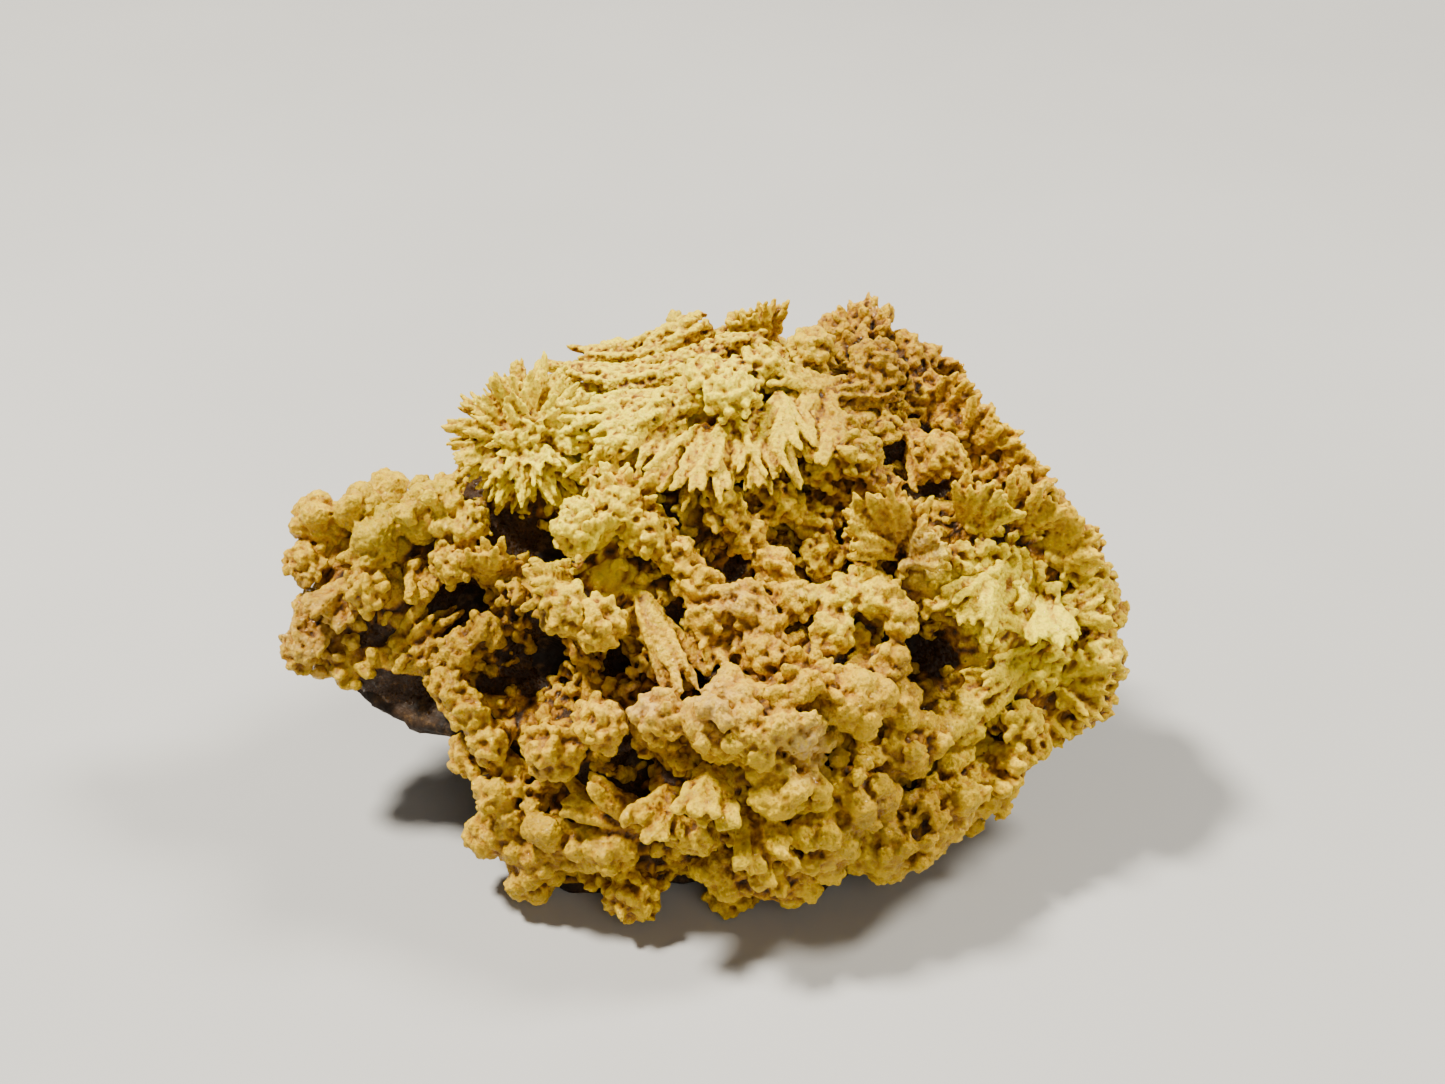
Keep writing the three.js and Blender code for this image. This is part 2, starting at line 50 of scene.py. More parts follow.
# The body of the specimen, the same as its solids: millimetres and degrees.
FACE_SLOPE = math.radians(52)
FACE_CENTRE = np.array((0, 2.1, 11.6))
FRONT_DEPTH, BACK_DEPTH = 6.5, 13.0
WING = {"from": 9, "to": 19, "thickness": 0.5}
CRUST = 2.3
FEATHER = 0.7
PIT_DEPTH, PIT_FLOOR, PIT_THINNING = 1.4, 1.25, 1.4
EDGE = {"level": -0.34, "tilt": -0.42, "wave": 0.07, "waves": 5}
BARE_END = {"angle": 206, "spread": 17, "rise": 0.5}
SPREAD = {"level": 6.5, "per_mm": 0.009}
LOWEST_CRUST = 0.3

# The outline in the face plane: angle from the right, counter-clockwise, and distance from the middle.
OUTLINE = (
    (0, 21.2), (7, 20.7), (15, 18.9), (30, 17.5), (42, 16.2), (54, 15.7), (62, 15.9), (68, 15.8),
    (76, 14.6), (88, 15.1), (100, 14.5), (120, 14.4), (132, 14.2), (143, 14.4), (152, 15.4), (157, 16.8),
    (163, 19.6), (171, 20.9), (181, 21.6), (188, 20.8), (194, 18.2), (201, 16.6), (207, 14.6), (221, 14.2),
    (230, 16.0), (241, 16.5), (252, 16.1), (262, 15.1), (270, 14.4), (280, 15.3), (289, 16.1), (303, 15.9),
    (312, 16.4), (325, 16.8), (336, 17.3), (342, 20.0), (351, 21.4),
)

# Flat breaks behind the face, each square to a direction, and the share of the depth that it leaves.
BREAKS = (
    (-0.75, 0.35, -0.55, 0.84), (0.7, 0.45, -0.55, 0.86), (0.15, 0.85, -0.5, 0.88),
    (-0.2, 0.3, -0.93, 0.86), (0.45, -0.1, -0.88, 0.88), (-0.6, -0.35, -0.72, 0.86),
    (0.3, -0.75, -0.6, 0.9), (-0.1, -0.95, -0.3, 0.93), (0.85, -0.4, -0.3, 0.9), (-0.9, 0.1, -0.35, 0.9),
    (0.5, 0.8, -0.2, 0.92), (-0.45, 0.85, -0.25, 0.92),
)

# Swells and hollows of the face: x, y, height and radius.
SWELLS = (
    (9, 11, 4.2, 4.5), (1, 9.5, 2.4, 4), (-9, 8.5, 1.6, 4), (7, 5.2, -2.8, 3.6), (-5.5, 2, 2.2, 3.4),
    (-11, -1, -1.6, 3), (2, -7.5, 3.4, 6.5), (8, -5, 1.6, 3.5), (15, 2.5, 1.6, 4.5), (10.6, 2.8, 1.4, 2.6),
)

# Open pits in the crust: x, y and radius.
PITS = (
    (-8.6, 4.1, 1.8), (-13.6, 0.5, 1.5), (-9.2, -2.9, 1.6), (-4.7, -2.5, 1.1), (3.0, 7.2, 1.9),
    (10.2, 6.6, 1.6), (11.9, -2.1, 1.6), (-3.6, -9.2, 1.2), (0.2, -2.9, 0.9),
)

# Half balls of radiating needles: x, y, lift of the centre above the body and radius.
SPRAYS = (
    (-8.2, 8.3, 0.3, 4.1), (8.7, 12.9, -0.4, 2.9),
)

# Long ribs of side-by-side crystals: x and y of each end, lift, radius and sideways bow.
RIBS = (
    (1.0, 14.6, -7.2, 12.4, 0.6, 1.1, 0.7), (3.6, 13.4, -7.4, 11.2, 1.1, 1.2, 0.7),
    (2.4, 11.9, -6.4, 9.6, 1.0, 1.0, 0.5), (-1.6, 10.4, -4.9, 8.3, 1.2, 0.8, 0.2),
    (9.8, 11.2, 3.4, 11.9, 0.4, 0.9, 0.8), (3.8, 0.1, 8.4, -0.7, 0.3, 0.7, -0.4),
    (0.7, -12.8, 5.0, -12.5, 0.2, 1.1, -0.3), (-8.3, -12.0, -4.4, -11.7, 0.1, 1.0, 0.3),
)

# Fans: x, y and lift of the root; heading in the face plane and rise out of it; length; half spread.
FANS = (
    (2.4, 10.4, 0.8, -85, 25, 4.0, 26), (-3.6, 8.6, 0.2, -130, 25, 3.2, 24),
    (7.0, 10.2, 0.2, -100, 30, 3.2, 30), (3.4, 13.2, -0.6, 110, 40, 2.6, 40),
    (10.8, 11.6, -0.4, 40, 35, 2.4, 34), (12.0, 9.6, 0.0, 40, 40, 2.8, 34),
    (13.4, 8.0, 0.0, 42, 40, 2.8, 34), (15.0, 6.2, 0.0, 35, 40, 2.6, 36),
    (10.6, 9.2, -0.2, -60, 35, 3.0, 30), (7.4, 7.4, -0.8, 120, 55, 2.8, 40),
    (5.6, 6.0, -0.6, 140, 50, 2.8, 38), (3.8, 4.8, -0.2, 130, 50, 2.6, 38),
    (6.6, 4.0, -0.2, 110, 55, 2.4, 40), (10.4, 2.6, 0.2, 30, 60, 2.6, 34),
    (13.4, 4.0, -0.4, 60, 50, 3.0, 36), (15.8, 3.8, -0.2, 60, 40, 3.2, 36),
    (17.4, 2.4, -0.6, 35, 35, 3.0, 36), (17.2, 0.9, -0.2, -80, 35, 3.0, 34),
    (17.0, -2.4, 0.0, -150, 25, 3.6, 22), (18.4, -0.2, -0.6, 15, 30, 2.4, 38),
    (17.8, -3.6, -0.6, -15, 30, 2.8, 40), (17.0, -4.6, -0.8, -75, 25, 2.6, 36),
    (-5.4, 3.2, 0.2, 100, 60, 2.6, 42), (-6.4, 1.6, 0.2, -160, 50, 2.8, 38),
    (-3.4, 1.4, 0.0, -62, 20, 5.6, 12), (-10.4, 1.4, -0.2, 95, 45, 2.4, 36),
    (-18.4, 0.8, -0.4, -125, 20, 2.8, 26), (-17.2, 2.0, 0.0, -125, 30, 3.0, 28),
    (-14.4, 3.2, -0.4, -60, 40, 3.0, 34), (5.8, -1.0, 0.0, -120, 50, 2.6, 38),
    (8.4, -1.6, 0.2, -100, 40, 2.8, 30), (1.4, 0.2, -0.2, -100, 45, 3.2, 30),
    (-1.4, -8.8, 0.2, -120, 40, 2.8, 34), (0.4, -7.6, 0.2, -95, 45, 3.2, 32),
    (2.2, -9.6, 0.4, -70, 35, 3.2, 32), (-7.2, -7.6, 0.2, -40, 12, 5.2, 14),
    (14.6, -6.2, -0.4, -30, 35, 3.0, 36), (13.4, -7.4, 0.0, -20, 40, 3.0, 34),
)

# Sheaves that stand free: the same numbers, and the half spread through the sheaf.
SHEAVES = (
    (0.4, 9.6, 0.6, -108, 30, 4.6, 34, 20), (-1.8, 9.6, 0.4, -128, 28, 3.8, 26, 18),
    (2.8, 10.4, 1.0, -82, 25, 4.4, 24, 18), (5.2, 11.6, 0.4, -92, 28, 3.8, 30, 20),
    (10.3, 2.8, 0.2, 142, 30, 4.0, 17, 13), (10.3, 2.8, 0.2, 112, 38, 4.0, 15, 12),
    (10.3, 2.8, 0.2, 166, 35, 3.4, 15, 12), (10.4, 2.8, 0.2, 82, 45, 3.2, 16, 14),
    (14.8, 1.8, 0.2, -130, 35, 3.4, 36, 16), (18.2, -1.4, 0.0, 172, 26, 5.0, 26, 14),
    (16.6, -3.2, 0.0, 198, 22, 3.4, 22, 12), (-17.2, -3.4, 0.0, 38, 20, 6.4, 20, 14),
    (-4.0, 5.0, 0.4, 75, 62, 2.6, 40, 30), (5.0, -4.2, 0.2, 60, 60, 2.8, 40, 30),
    (2.2, -10.4, 0.4, -62, 25, 3.6, 26, 16),
)

# Rounded knobs: x, y, lift of the centre above the body and radius.
KNOBS = (
    (11.2, 10.6, -0.6, 1.6), (13.0, 9.0, -0.6, 1.6), (15.0, 7.0, -0.6, 1.6), (16.8, 5.0, -0.6, 1.7),
    (18.6, 2.8, -0.8, 1.8), (19.8, 0.2, -0.8, 1.7), (19.9, -2.4, -0.8, 1.7), (18.6, -4.8, -0.8, 1.6),
    (2.4, 13.8, -3.0, 1.7), (5.6, 13.0, 0.2, 1.2), (7.0, 14.0, 0.4, 1.1), (8.8, 12.0, 1.0, 1.5),
    (10.4, 12.4, 0.6, 1.4), (0.2, 11.4, 0.4, 1.3), (3.0, 12.0, 0.8, 1.2), (1.6, 10.6, 1.0, 1.3),
    (12.0, 7.6, 0.2, 1.2), (9.0, 6.0, 0.0, 1.1), (1.2, 5.0, 0.4, 1.2), (2.2, 3.8, 0.2, 1.1),
    (-4.0, 5.2, 0.8, 1.5), (-5.8, 4.2, 1.0, 1.4), (-2.6, 4.0, 0.6, 1.3), (-6.6, 0.2, 1.0, 1.3),
    (-5.0, -0.6, 1.0, 1.3), (-1.2, 2.8, 0.4, 1.1), (-0.2, 1.4, 0.4, 1.1), (2.0, 0.4, 0.6, 1.2),
    (3.2, -2.2, 0.2, 1.2), (1.6, -4.2, 0.2, 1.1), (5.0, -3.4, 0.4, 1.3), (7.6, -4.4, 0.8, 1.6),
    (9.4, -2.6, 0.2, 1.0), (9.8, -0.4, 0.6, 1.0), (8.2, 1.2, 0.4, 1.1), (9.8, -4.6, 0.2, 1.1),
    (3.8, -5.6, 0.6, 1.9), (0.8, -5.4, 0.6, 1.7), (-2.0, -5.0, 0.8, 1.4), (-4.8, -5.4, 0.8, 1.4),
    (-7.2, -6.6, 0.8, 1.6), (-0.4, -10.8, 0.6, 1.2), (-9.6, -9.0, 0.6, 1.5), (-9.9, -10.8, 0.3, 1.6),
    (-7.8, -10.6, 0.6, 0.9), (-8.4, -12.8, 0.3, 1.7), (7.6, -8.8, 0.6, 1.9), (5.8, -10.8, 0.8, 2.0),
    (8.4, -11.4, 0.6, 1.7), (4.2, -8.4, 0.4, 1.6), (4.6, -13.5, 0.4, 1.5), (1.4, -14.2, 0.2, 1.3),
    (-3.4, -13.8, 0.4, 1.5), (10.2, -6.6, 0.4, 1.5), (12.8, -5.4, 0.2, 1.2), (12.2, -9.0, 0.8, 1.7),
    (10.2, -10.6, 0.8, 2.0), (13.8, -9.0, 0.6, 1.5), (15.8, -5.6, 0.0, 1.1), (19.6, 1.4, 0.0, 1.3),
    (19.8, -2.2, 0.0, 1.3), (19.6, -4.4, 0.0, 1.4), (17.8, 4.6, 0.2, 1.3), (-18.8, 4.8, 0.0, 1.4),
    (-17.0, 5.2, 0.2, 1.3), (-15.6, 6.4, 0.0, 0.9), (-19.6, 2.6, -0.2, 1.2), (-16.0, 3.6, 0.6, 1.4),
    (-13.2, 5.2, 0.6, 1.8), (-11.4, 4.4, 0.0, 1.1), (-16.4, 1.2, 0.6, 1.3), (-12.2, 2.6, 0.0, 1.2),
    (-10.6, -0.8, 0.6, 1.0), (-11.8, -1.8, 0.4, 1.1), (-12.4, -3.6, 0.4, 1.1), (-11.4, -4.8, 0.6, 1.1),
    (-10.4, -6.2, 0.6, 1.2), (-11.6, -7.0, 0.0, 1.1), (-19.8, -1.6, -0.2, 1.2),
)

# How thick the rods' heads are: x, y, radius of the spot and the head's radius there. Elsewhere USUAL_HEAD.
USUAL_HEAD = 0.2
HEAD_SIZES = (
    (-8.2, 8.3, 5.5, 0.11), (2, 10, 6, 0.13), (9.2, 12.5, 4, 0.18), (10.5, 3, 4, 0.15),
    (17.5, -2, 4.5, 0.12), (-15.8, 4.2, 3.6, 0.34), (-20, -1, 3, 0.15), (-15, -2.6, 3.4, 0.17),
    (-5.5, 2.4, 3.4, 0.21), (3, -7, 5, 0.3), (9, -10, 5.5, 0.42), (-8, -10, 4.5, 0.28), (6, 5, 4, 0.2),
    (16, 5, 5, 0.2),
)
BACK_HEAD = 0.26

# Hollows between the groups, cut down to the dark rock, with painted shade on the crust round them: x, y,
# half length, half width, turn in degrees and depth.
HOLLOWS = (
    (-9.6, 4.0, 1.7, 0.9, -10, 2.6), (3.3, 7.8, 1.9, 1.4, 60, 2.6), (11.6, 6.3, 1.5, 0.4, -5, 1.5),
    (9.9, 8.2, 0.8, 0.4, 30, 1.3), (6.3, 11.0, 0.9, 0.4, 25, 1.2), (10.5, 5.3, 0.9, 0.35, 80, 1.4),
    (15.2, 3.4, 0.6, 0.3, 60, 1.2), (15.0, -0.6, 0.8, 0.3, -10, 1.2), (11.8, -2.2, 1.2, 0.6, -20, 2.0),
    (15.4, -4.4, 1.5, 0.5, -40, 1.3), (-7.5, -1.8, 0.6, 0.9, 0, 2.0), (-4.2, -2.5, 0.7, 0.9, 10, 2.0),
    (1.9, 2.6, 0.4, 1.0, -20, 1.4), (4.7, 0.2, 0.6, 0.6, 0, 1.4), (-1.4, -0.8, 0.5, 1.1, 20, 1.6),
    (0.5, -3.4, 0.9, 0.9, 0, 2.0), (-9.0, -3.2, 1.1, 0.7, -25, 2.2), (-4.2, -6.6, 0.7, 1.0, 10, 1.8),
    (0.2, -8.9, 0.7, 1.3, -10, 2.0), (2.9, -9.8, 0.7, 0.5, 30, 1.4), (6.7, -7.6, 0.8, 0.5, -20, 1.4),
    (8.7, -10.0, 0.35, 1.4, 15, 1.6), (-5.0, -9.0, 1.6, 0.9, -25, 1.6), (-12.9, 1.0, 1.4, 0.5, 25, 2.0),
    (-17.0, -1.2, 1.1, 0.4, 15, 1.6), (-8.3, -0.3, 0.5, 1.0, 20, 1.6), (-10.6, -3.7, 0.9, 0.4, -15, 1.4),
    (-14.9, -5.1, 3.0, 1.2, -33, 3.0), (0, -15.6, 9.0, 1.3, 0, 1.8), (8.0, -2.6, 0.8, 0.5, 0, 1.3),
    (-1.6, 4.6, 0.5, 0.9, 30, 1.2), (-10.9, 3.2, 0.5, 1.0, 0, 1.2), (6.9, -12.6, 0.5, 1.2, 10, 1.3),
    (12.2, -7.0, 0.5, 0.9, 40, 1.3), (-11.6, 6.9, 1.0, 0.6, 60, 1.3),
)

# Regional colours: x, y, radius, then how pale, olive, rusty and pinkish the crust is there.
TONES = (
    (-8.2, 8.3, 4.6, 1.0, 0, 0, 0), (-2, 12.5, 6, 0.75, 0, 0, 0), (3, 11, 4, 0.5, 0, 0, 0),
    (9.2, 12.5, 3.6, 0, 0, 0.8, 0), (8.6, 8.6, 2.2, 0, 0.7, 0, 0), (15.5, 4.4, 3, 0.3, 0.3, 0, 0),
    (18.5, -1.5, 4, 0.9, 0.1, 0, 0), (14, 1, 3, 0.6, 0, 0, 0), (-17, 4.6, 3, 0, 0.9, 0, 0),
    (-20.5, -0.6, 2.4, 0, 0, 0.5, 0.4), (-14, -2.2, 3.4, 0.15, 0, 0.35, 0), (-10, -1, 3, 0, 0, 0.7, 0),
    (-5, 2.6, 3, 0.6, 0, 0, 0), (0.5, -4.4, 1.5, 0, 0, 0, 0.6), (5.2, -6.6, 1.3, 0.1, 0, 0, 0.8),
    (1.8, 0.4, 1.0, 0, 0, 0, 0.6), (7.4, 0.2, 2.2, 0.6, 0, 0, 0), (6.4, 4.6, 3, 0.3, 0, 0, 0),
    (10, -10, 3, 0, 0, 0.6, 0), (-8.6, -11.5, 3.2, 0, 0.1, 0.5, 0), (8, -11.5, 2.2, 0, 0.6, 0, 0),
    (3, -2, 4, 0, 0, 0.3, 0), (11, -3, 2.4, 0, 0, 0.8, 0), (1, -10, 3, 0.35, 0.15, 0, 0),
    (-3, -4, 1.3, 0, 0, 0, 0.9), (10.9, 3.0, 1.1, 0.2, 0, 0, 0.9), (14, -6.5, 3, 0.3, 0, 0.1, 0),
)
BACK_TONE = (0.25, 0.2, 0.3, 0.05)


def smooth_step(low, high, value):
    t = np.clip((value - low) / (high - low), 0, 1)
    return t * t * (3 - 2 * t)


def unit(v):
    return v / np.maximum(np.linalg.norm(v, axis=-1, keepdims=True), 1e-9)


def chance(seed):
    s = np.sin(np.asarray(seed, float) * 12.9898 + 4.1414) * 43758.5453
    return s - np.floor(s)


OUTLINE_ANGLES = np.array([a for a, _ in OUTLINE] + [OUTLINE[0][0] + 360], float)
OUTLINE_RADII = np.array([r for _, r in OUTLINE] + [OUTLINE[0][1]], float)


def outline_radius(angle):
    turned = np.degrees(angle) % 360
    i = np.clip(np.searchsorted(OUTLINE_ANGLES, turned, side="right") - 1, 0, len(OUTLINE) - 1)
    share = (turned - OUTLINE_ANGLES[i]) / (OUTLINE_ANGLES[i + 1] - OUTLINE_ANGLES[i])
    return OUTLINE_RADII[i] + (OUTLINE_RADII[i + 1] - OUTLINE_RADII[i]) * smooth_step(0, 1, share)


def spot(x, y, cx, cy, radius):
    return np.exp(-((x - cx) ** 2 + (y - cy) ** 2) / radius**2)


def swell_at(x, y):
    return sum(height * spot(x, y, cx, cy, radius) for cx, cy, height, radius in SWELLS)


def pit_share(x, y):
    deepest = np.max([PIT_FLOOR * spot(x, y, *pit) for pit in PITS], axis=0)
    return np.minimum(1, deepest)


def hollow_depth(x, y):
    """How deep the hollows cut in under x, y of the face."""
    deepest = np.zeros_like(x)
    for cx, cy, long, short, turn, depth in HOLLOWS:
        c, s = math.cos(math.radians(turn)), math.sin(math.radians(turn))
        a, b = ((x - cx) * c + (y - cy) * s) / long, (-(x - cx) * s + (y - cy) * c) / short
        deepest = np.maximum(deepest, depth * smooth_step(1.35, 0.55, np.hypot(a, b)))
    return deepest


def thinning(x):
    return 1 - (1 - WING["thickness"]) * smooth_step(WING["from"], WING["to"], -x)


def face_height(x, y):
    """How far the body stands out of the face plane above x, y."""
    share = np.hypot(x, y) / outline_radius(np.arctan2(y, x))
    return (FRONT_DEPTH * thinning(x) + swell_at(x, y)) * np.sqrt(np.maximum(0, 1 - share**2))


def on_face(x, y, lift):
    spread = 1 + SPREAD["per_mm"] * (SPREAD["level"] - face_height(x, y))
    return np.array((x * spread, y * spread, face_height(x * spread, y * spread) + lift))


def body_point(d, offset):
    """A point of the body along each unit direction, moved out of the surface by offset."""
    across = outline_radius(np.arctan2(d[:, 1], d[:, 0])) + offset
    x, y = across * d[:, 0], across * d[:, 1]
    depth = np.where(d[:, 2] > 0, FRONT_DEPTH, BACK_DEPTH) * thinning(x) + offset
    return np.stack([x, y, depth * d[:, 2] + swell_at(x, y) * np.maximum(0, d[:, 2])], 1)


def cover_along(d):
    """1 where the crust covers the rock and 0 where it has ended."""
    angle = np.arctan2(d[:, 1], d[:, 0])
    turned = np.degrees(angle) % 360
    bare = BARE_END["rise"] * np.exp(-(((turned - BARE_END["angle"]) / BARE_END["spread"]) ** 2))
    wave = EDGE["wave"] * np.sin(EDGE["waves"] * angle + 1)
    edge = EDGE["level"] + EDGE["tilt"] * np.sin(angle) + bare + wave
    return smooth_step(edge - 0.06, edge + 0.22, d[:, 2])


def pits_along(d):
    at = body_point(d, 0)
    return np.where(d[:, 2] > 0, pit_share(at[:, 0], at[:, 1]), 0)


def break_depth(d):
    least = np.ones(len(d))
    for *normal, share in BREAKS:
        facing = d @ unit(np.array(normal, float))
        least = np.where(facing > 0, np.minimum(least, share / np.maximum(facing, 1e-6)), least)
    return BACK_DEPTH * (1 - least)


def rock_offset(d):
    return -CRUST * cover_along(d) - PIT_DEPTH * pits_along(d) - break_depth(d)


def to_world(points):
    """From the layout frame in millimetres to the row frame in metres."""
    c, s = math.cos(FACE_SLOPE), math.sin(FACE_SLOPE)
    x, y, z = points[:, 0], points[:, 1], points[:, 2]
    return (np.stack([x, y * c - z * s, y * s + z * c], 1) + FACE_CENTRE) * MM


def from_world(points):
    """Back from metres in the row frame to the layout frame."""
    c, s = math.cos(FACE_SLOPE), math.sin(FACE_SLOPE)
    x, y, z = ((points / MM) - FACE_CENTRE).T
    return np.stack([x, y * c + z * s, -y * s + z * c], 1)


def kept_above(points, height):
    """Lifts every point that is lower than this height over the ground, in millimetres."""
    world = to_world(points)
    world[:, 2] = np.maximum(world[:, 2], height * MM)
    return from_world(world)


def aim(heading, rise):
    h, r = math.radians(heading), math.radians(rise)
    return np.array((math.cos(h) * math.cos(r), math.sin(h) * math.cos(r), math.sin(r)))


def sides_of(along, outward):
    """Two unit directions square to `along`: across the group and through it."""
    across = np.cross(outward, along)
    if np.linalg.norm(across) < 1e-3:
        across = np.cross((1, 0, 0), along)
    across = unit(across)
    return across, np.cross(along, across)


def head_at(x, y):
    size = USUAL_HEAD
    for cx, cy, radius, head in HEAD_SIZES:
        size += (head - size) * spot(x, y, cx, cy, radius)
    return float(size)


OUT = np.array((0.0, 0.0, 1.0))


def ball_grid(detail):
    """Directions and outward triangles of an icosahedron whose edges are split in `detail` parts."""
    t = (1 + math.sqrt(5)) / 2
    corners = np.array((
        (-1, t, 0), (1, t, 0), (-1, -t, 0), (1, -t, 0), (0, -1, t), (0, 1, t),
        (0, -1, -t), (0, 1, -t), (t, 0, -1), (t, 0, 1), (-t, 0, -1), (-t, 0, 1),
    ))
    faces = (
        (0, 11, 5), (0, 5, 1), (0, 1, 7), (0, 7, 10), (0, 10, 11), (1, 5, 9), (5, 11, 4), (11, 10, 2),
        (10, 7, 6), (7, 1, 8), (3, 9, 4), (3, 4, 2), (3, 2, 6), (3, 6, 8), (3, 8, 9), (4, 9, 5),
        (2, 4, 11), (6, 2, 10), (8, 6, 7), (9, 8, 1),
    )
    steps = [(i, j) for i in range(detail + 1) for j in range(detail + 1 - i)]
    number = {step: n for n, step in enumerate(steps)}
    small = []
    for i, j in steps:
        if i + j < detail:
            small.append((number[i, j], number[i + 1, j], number[i, j + 1]))
        if i + j < detail - 1:
            small.append((number[i + 1, j], number[i + 1, j + 1], number[i, j + 1]))
    i, j = (np.array(steps, float) / detail).T[:, :, None]
    points, triangles = [], []
    for n, (a, b, c) in enumerate(faces):
        points.append(unit(corners[a] + (corners[b] - corners[a]) * i + (corners[c] - corners[a]) * j))
        triangles.append(np.array(small) + n * len(steps))
    points, triangles = np.concatenate(points), np.concatenate(triangles)
    _, first, same = np.unique(np.round(points, 6), axis=0, return_index=True, return_inverse=True)
    return points[first], same.reshape(-1)[triangles]


def normals_of(points, triangles):
    a, b, c = (points[triangles[:, k]] for k in range(3))
    face = np.cross(b - a, c - a)
    total = np.zeros_like(points)
    for k in range(3):
        np.add.at(total, triangles[:, k], face)
    return unit(total)


def lumps(points, size):
    """Cellular bumps of about this size: 1 on their tops and 0 in the grooves between them."""
    near = [noise.voronoi(Vector(p / size))[0] for p in points]
    near = np.array([(d[0], d[1]) for d in near])
    return np.clip((near[:, 1] - near[:, 0]) * 1.6, 0, 1)


def wander(points, size):
    """Smooth noise of about this size, from -1 to 1."""
    return np.array([noise.noise(Vector(p / size)) for p in points])


def cap(count, axis, half_angle):
    """Directions spread evenly over a cap round an axis."""
    i = np.arange(count) + 0.5
    z = 1 - (1 - math.cos(half_angle)) * i / count
    turn = i * GOLDEN
    level = np.sqrt(np.maximum(0, 1 - z * z))
    across, through = sides_of(axis, np.array((0, 0, 1)) if abs(axis[2]) < 0.9 else np.array((0, 1, 0)))
    level, turn, z = level[:, None], turn[:, None], z[:, None]
    return across * level * np.cos(turn) + through * level * np.sin(turn) + axis * z


def joined(made, key):
    return np.concatenate([g[key] for g in made])


def group(roots, tips, heads):
    """Rods of one crystal group: where each starts and ends, its head's radius, and the group's shade."""
    count = len(tips)
    roots = np.broadcast_to(roots, (count, 3)).copy()
    return {
        "root": roots, "tip": tips, "inner": roots, "outer": tips,
        "head": np.broadcast_to(heads, (count,)).copy(),
        "shade": np.full(count, RNG.random()),
    }


def core(centre, radius):
    """A ball that fills the middle of a group."""
    centre = np.asarray(centre)[None]
    return {
        "centre": centre, "radius": np.array([radius]), "shade": np.array([RNG.random()]),
        "inner": centre, "outer": centre + (0, 0, 1.25 * radius),
    }


# A spray's rings of blades: how many, their rise out of the face in degrees, and their share of its radius.
SPRAY_RINGS = ((17, 0, 1.0), (16, 13, 1.0), (14, 28, 0.9), (11, 44, 0.74), (8, 62, 0.6), (4, 82, 0.5))
PLUME_BLADES, PLUME_SPREAD, PLUME_WIDTH = 5, 0.1, 0.19
USUAL_SPRAY = 4.1 # the radius of a spray that has these counts


def spray(centre, radius, head):
    """A flat rosette of plumes, each a few blades, low at its rim and upright in its middle."""
    made = []
    for count, rise, share in SPRAY_RINGS:
        count = max(4, round(count * (radius / USUAL_SPRAY) ** 0.7))
        start = RNG.random() * 360
        for k in range(count):
            way = aim(start + 360 * (k + RNG.uniform(-0.3, 0.3)) / count, rise + RNG.normal(0, 5))
            reach = radius * share * RNG.uniform(0.8, 1.12)
            for blade in unit(way + RNG.normal(0, PLUME_SPREAD, (PLUME_BLADES, 3))):
                made.append(frond(centre, blade, OUT, reach * RNG.uniform(0.8, 1.0), PLUME_WIDTH, head))
    return made


TOOTH_GAP = 0.11 # between two teeth of a blade


def frond(root, along, outward, length, wide, head, start=0.12, taper=3.0, stem=0.65):
    """A blade with a toothed edge: a stem, and needles that leave it to all sides.

    It is `wide` millimetres from its stem to its edge. The needles leave it from the share `start` of its
    length on, get shorter towards its tip by `taper`, and the stem is thick by the share `stem` of `wide`.
    """
    across, up = sides_of(along, outward)
    count = max(5, int(length * (1 - start) / max(0.45 * head, TOOTH_GAP)))
    t = start + (0.98 - start) * (np.arange(count) + RNG.random(count)) / count
    turn = RNG.uniform(-1.9, 1.9, count)
    reach = (wide * (0.6 + 0.6 * RNG.random(count)) * np.minimum(1, taper * (1.1 - t)))[:, None]
    side = np.sin(turn)[:, None] * across + 0.7 * np.cos(turn)[:, None] * up
    lead = min(0.3 * length, 1.0)

    roots = root + along * np.maximum(t * length - lead, 0)[:, None]
    tips = root + along * (t * length)[:, None] + side * reach
    heads = head * RNG.uniform(0.75, 1.2, count)
    roots = np.concatenate([roots, root[None]])
    tips = np.concatenate([tips, root[None] + 0.95 * length * along])
    made = group(roots, tips, np.append(heads, stem * wide))
    made["inner"] = made["inner"] - 0.4 * wide * outward
    return made


def coral(centre, outward, reach, head, half_angle=math.radians(92), spacing=0.62):
    """Stubby fingers with toothed ends that radiate from one centre."""
    count = max(5, int(2 * math.pi * (1 - math.cos(half_angle)) * reach**2 / spacing**2))
    made = []
    for way in unit(cap(count, outward, half_angle) + RNG.normal(0, 0.13, (count, 3))):
        length = reach * RNG.uniform(0.84, 1.14)
        made.append(frond(centre, way, outward, length, 0.24 + head * 0.6, head, 0.5, 5.0, 0.85))
    return made


BLADE_GAP, CLUB_GAP = 0.46, 0.8 # along the rim of a sheaf


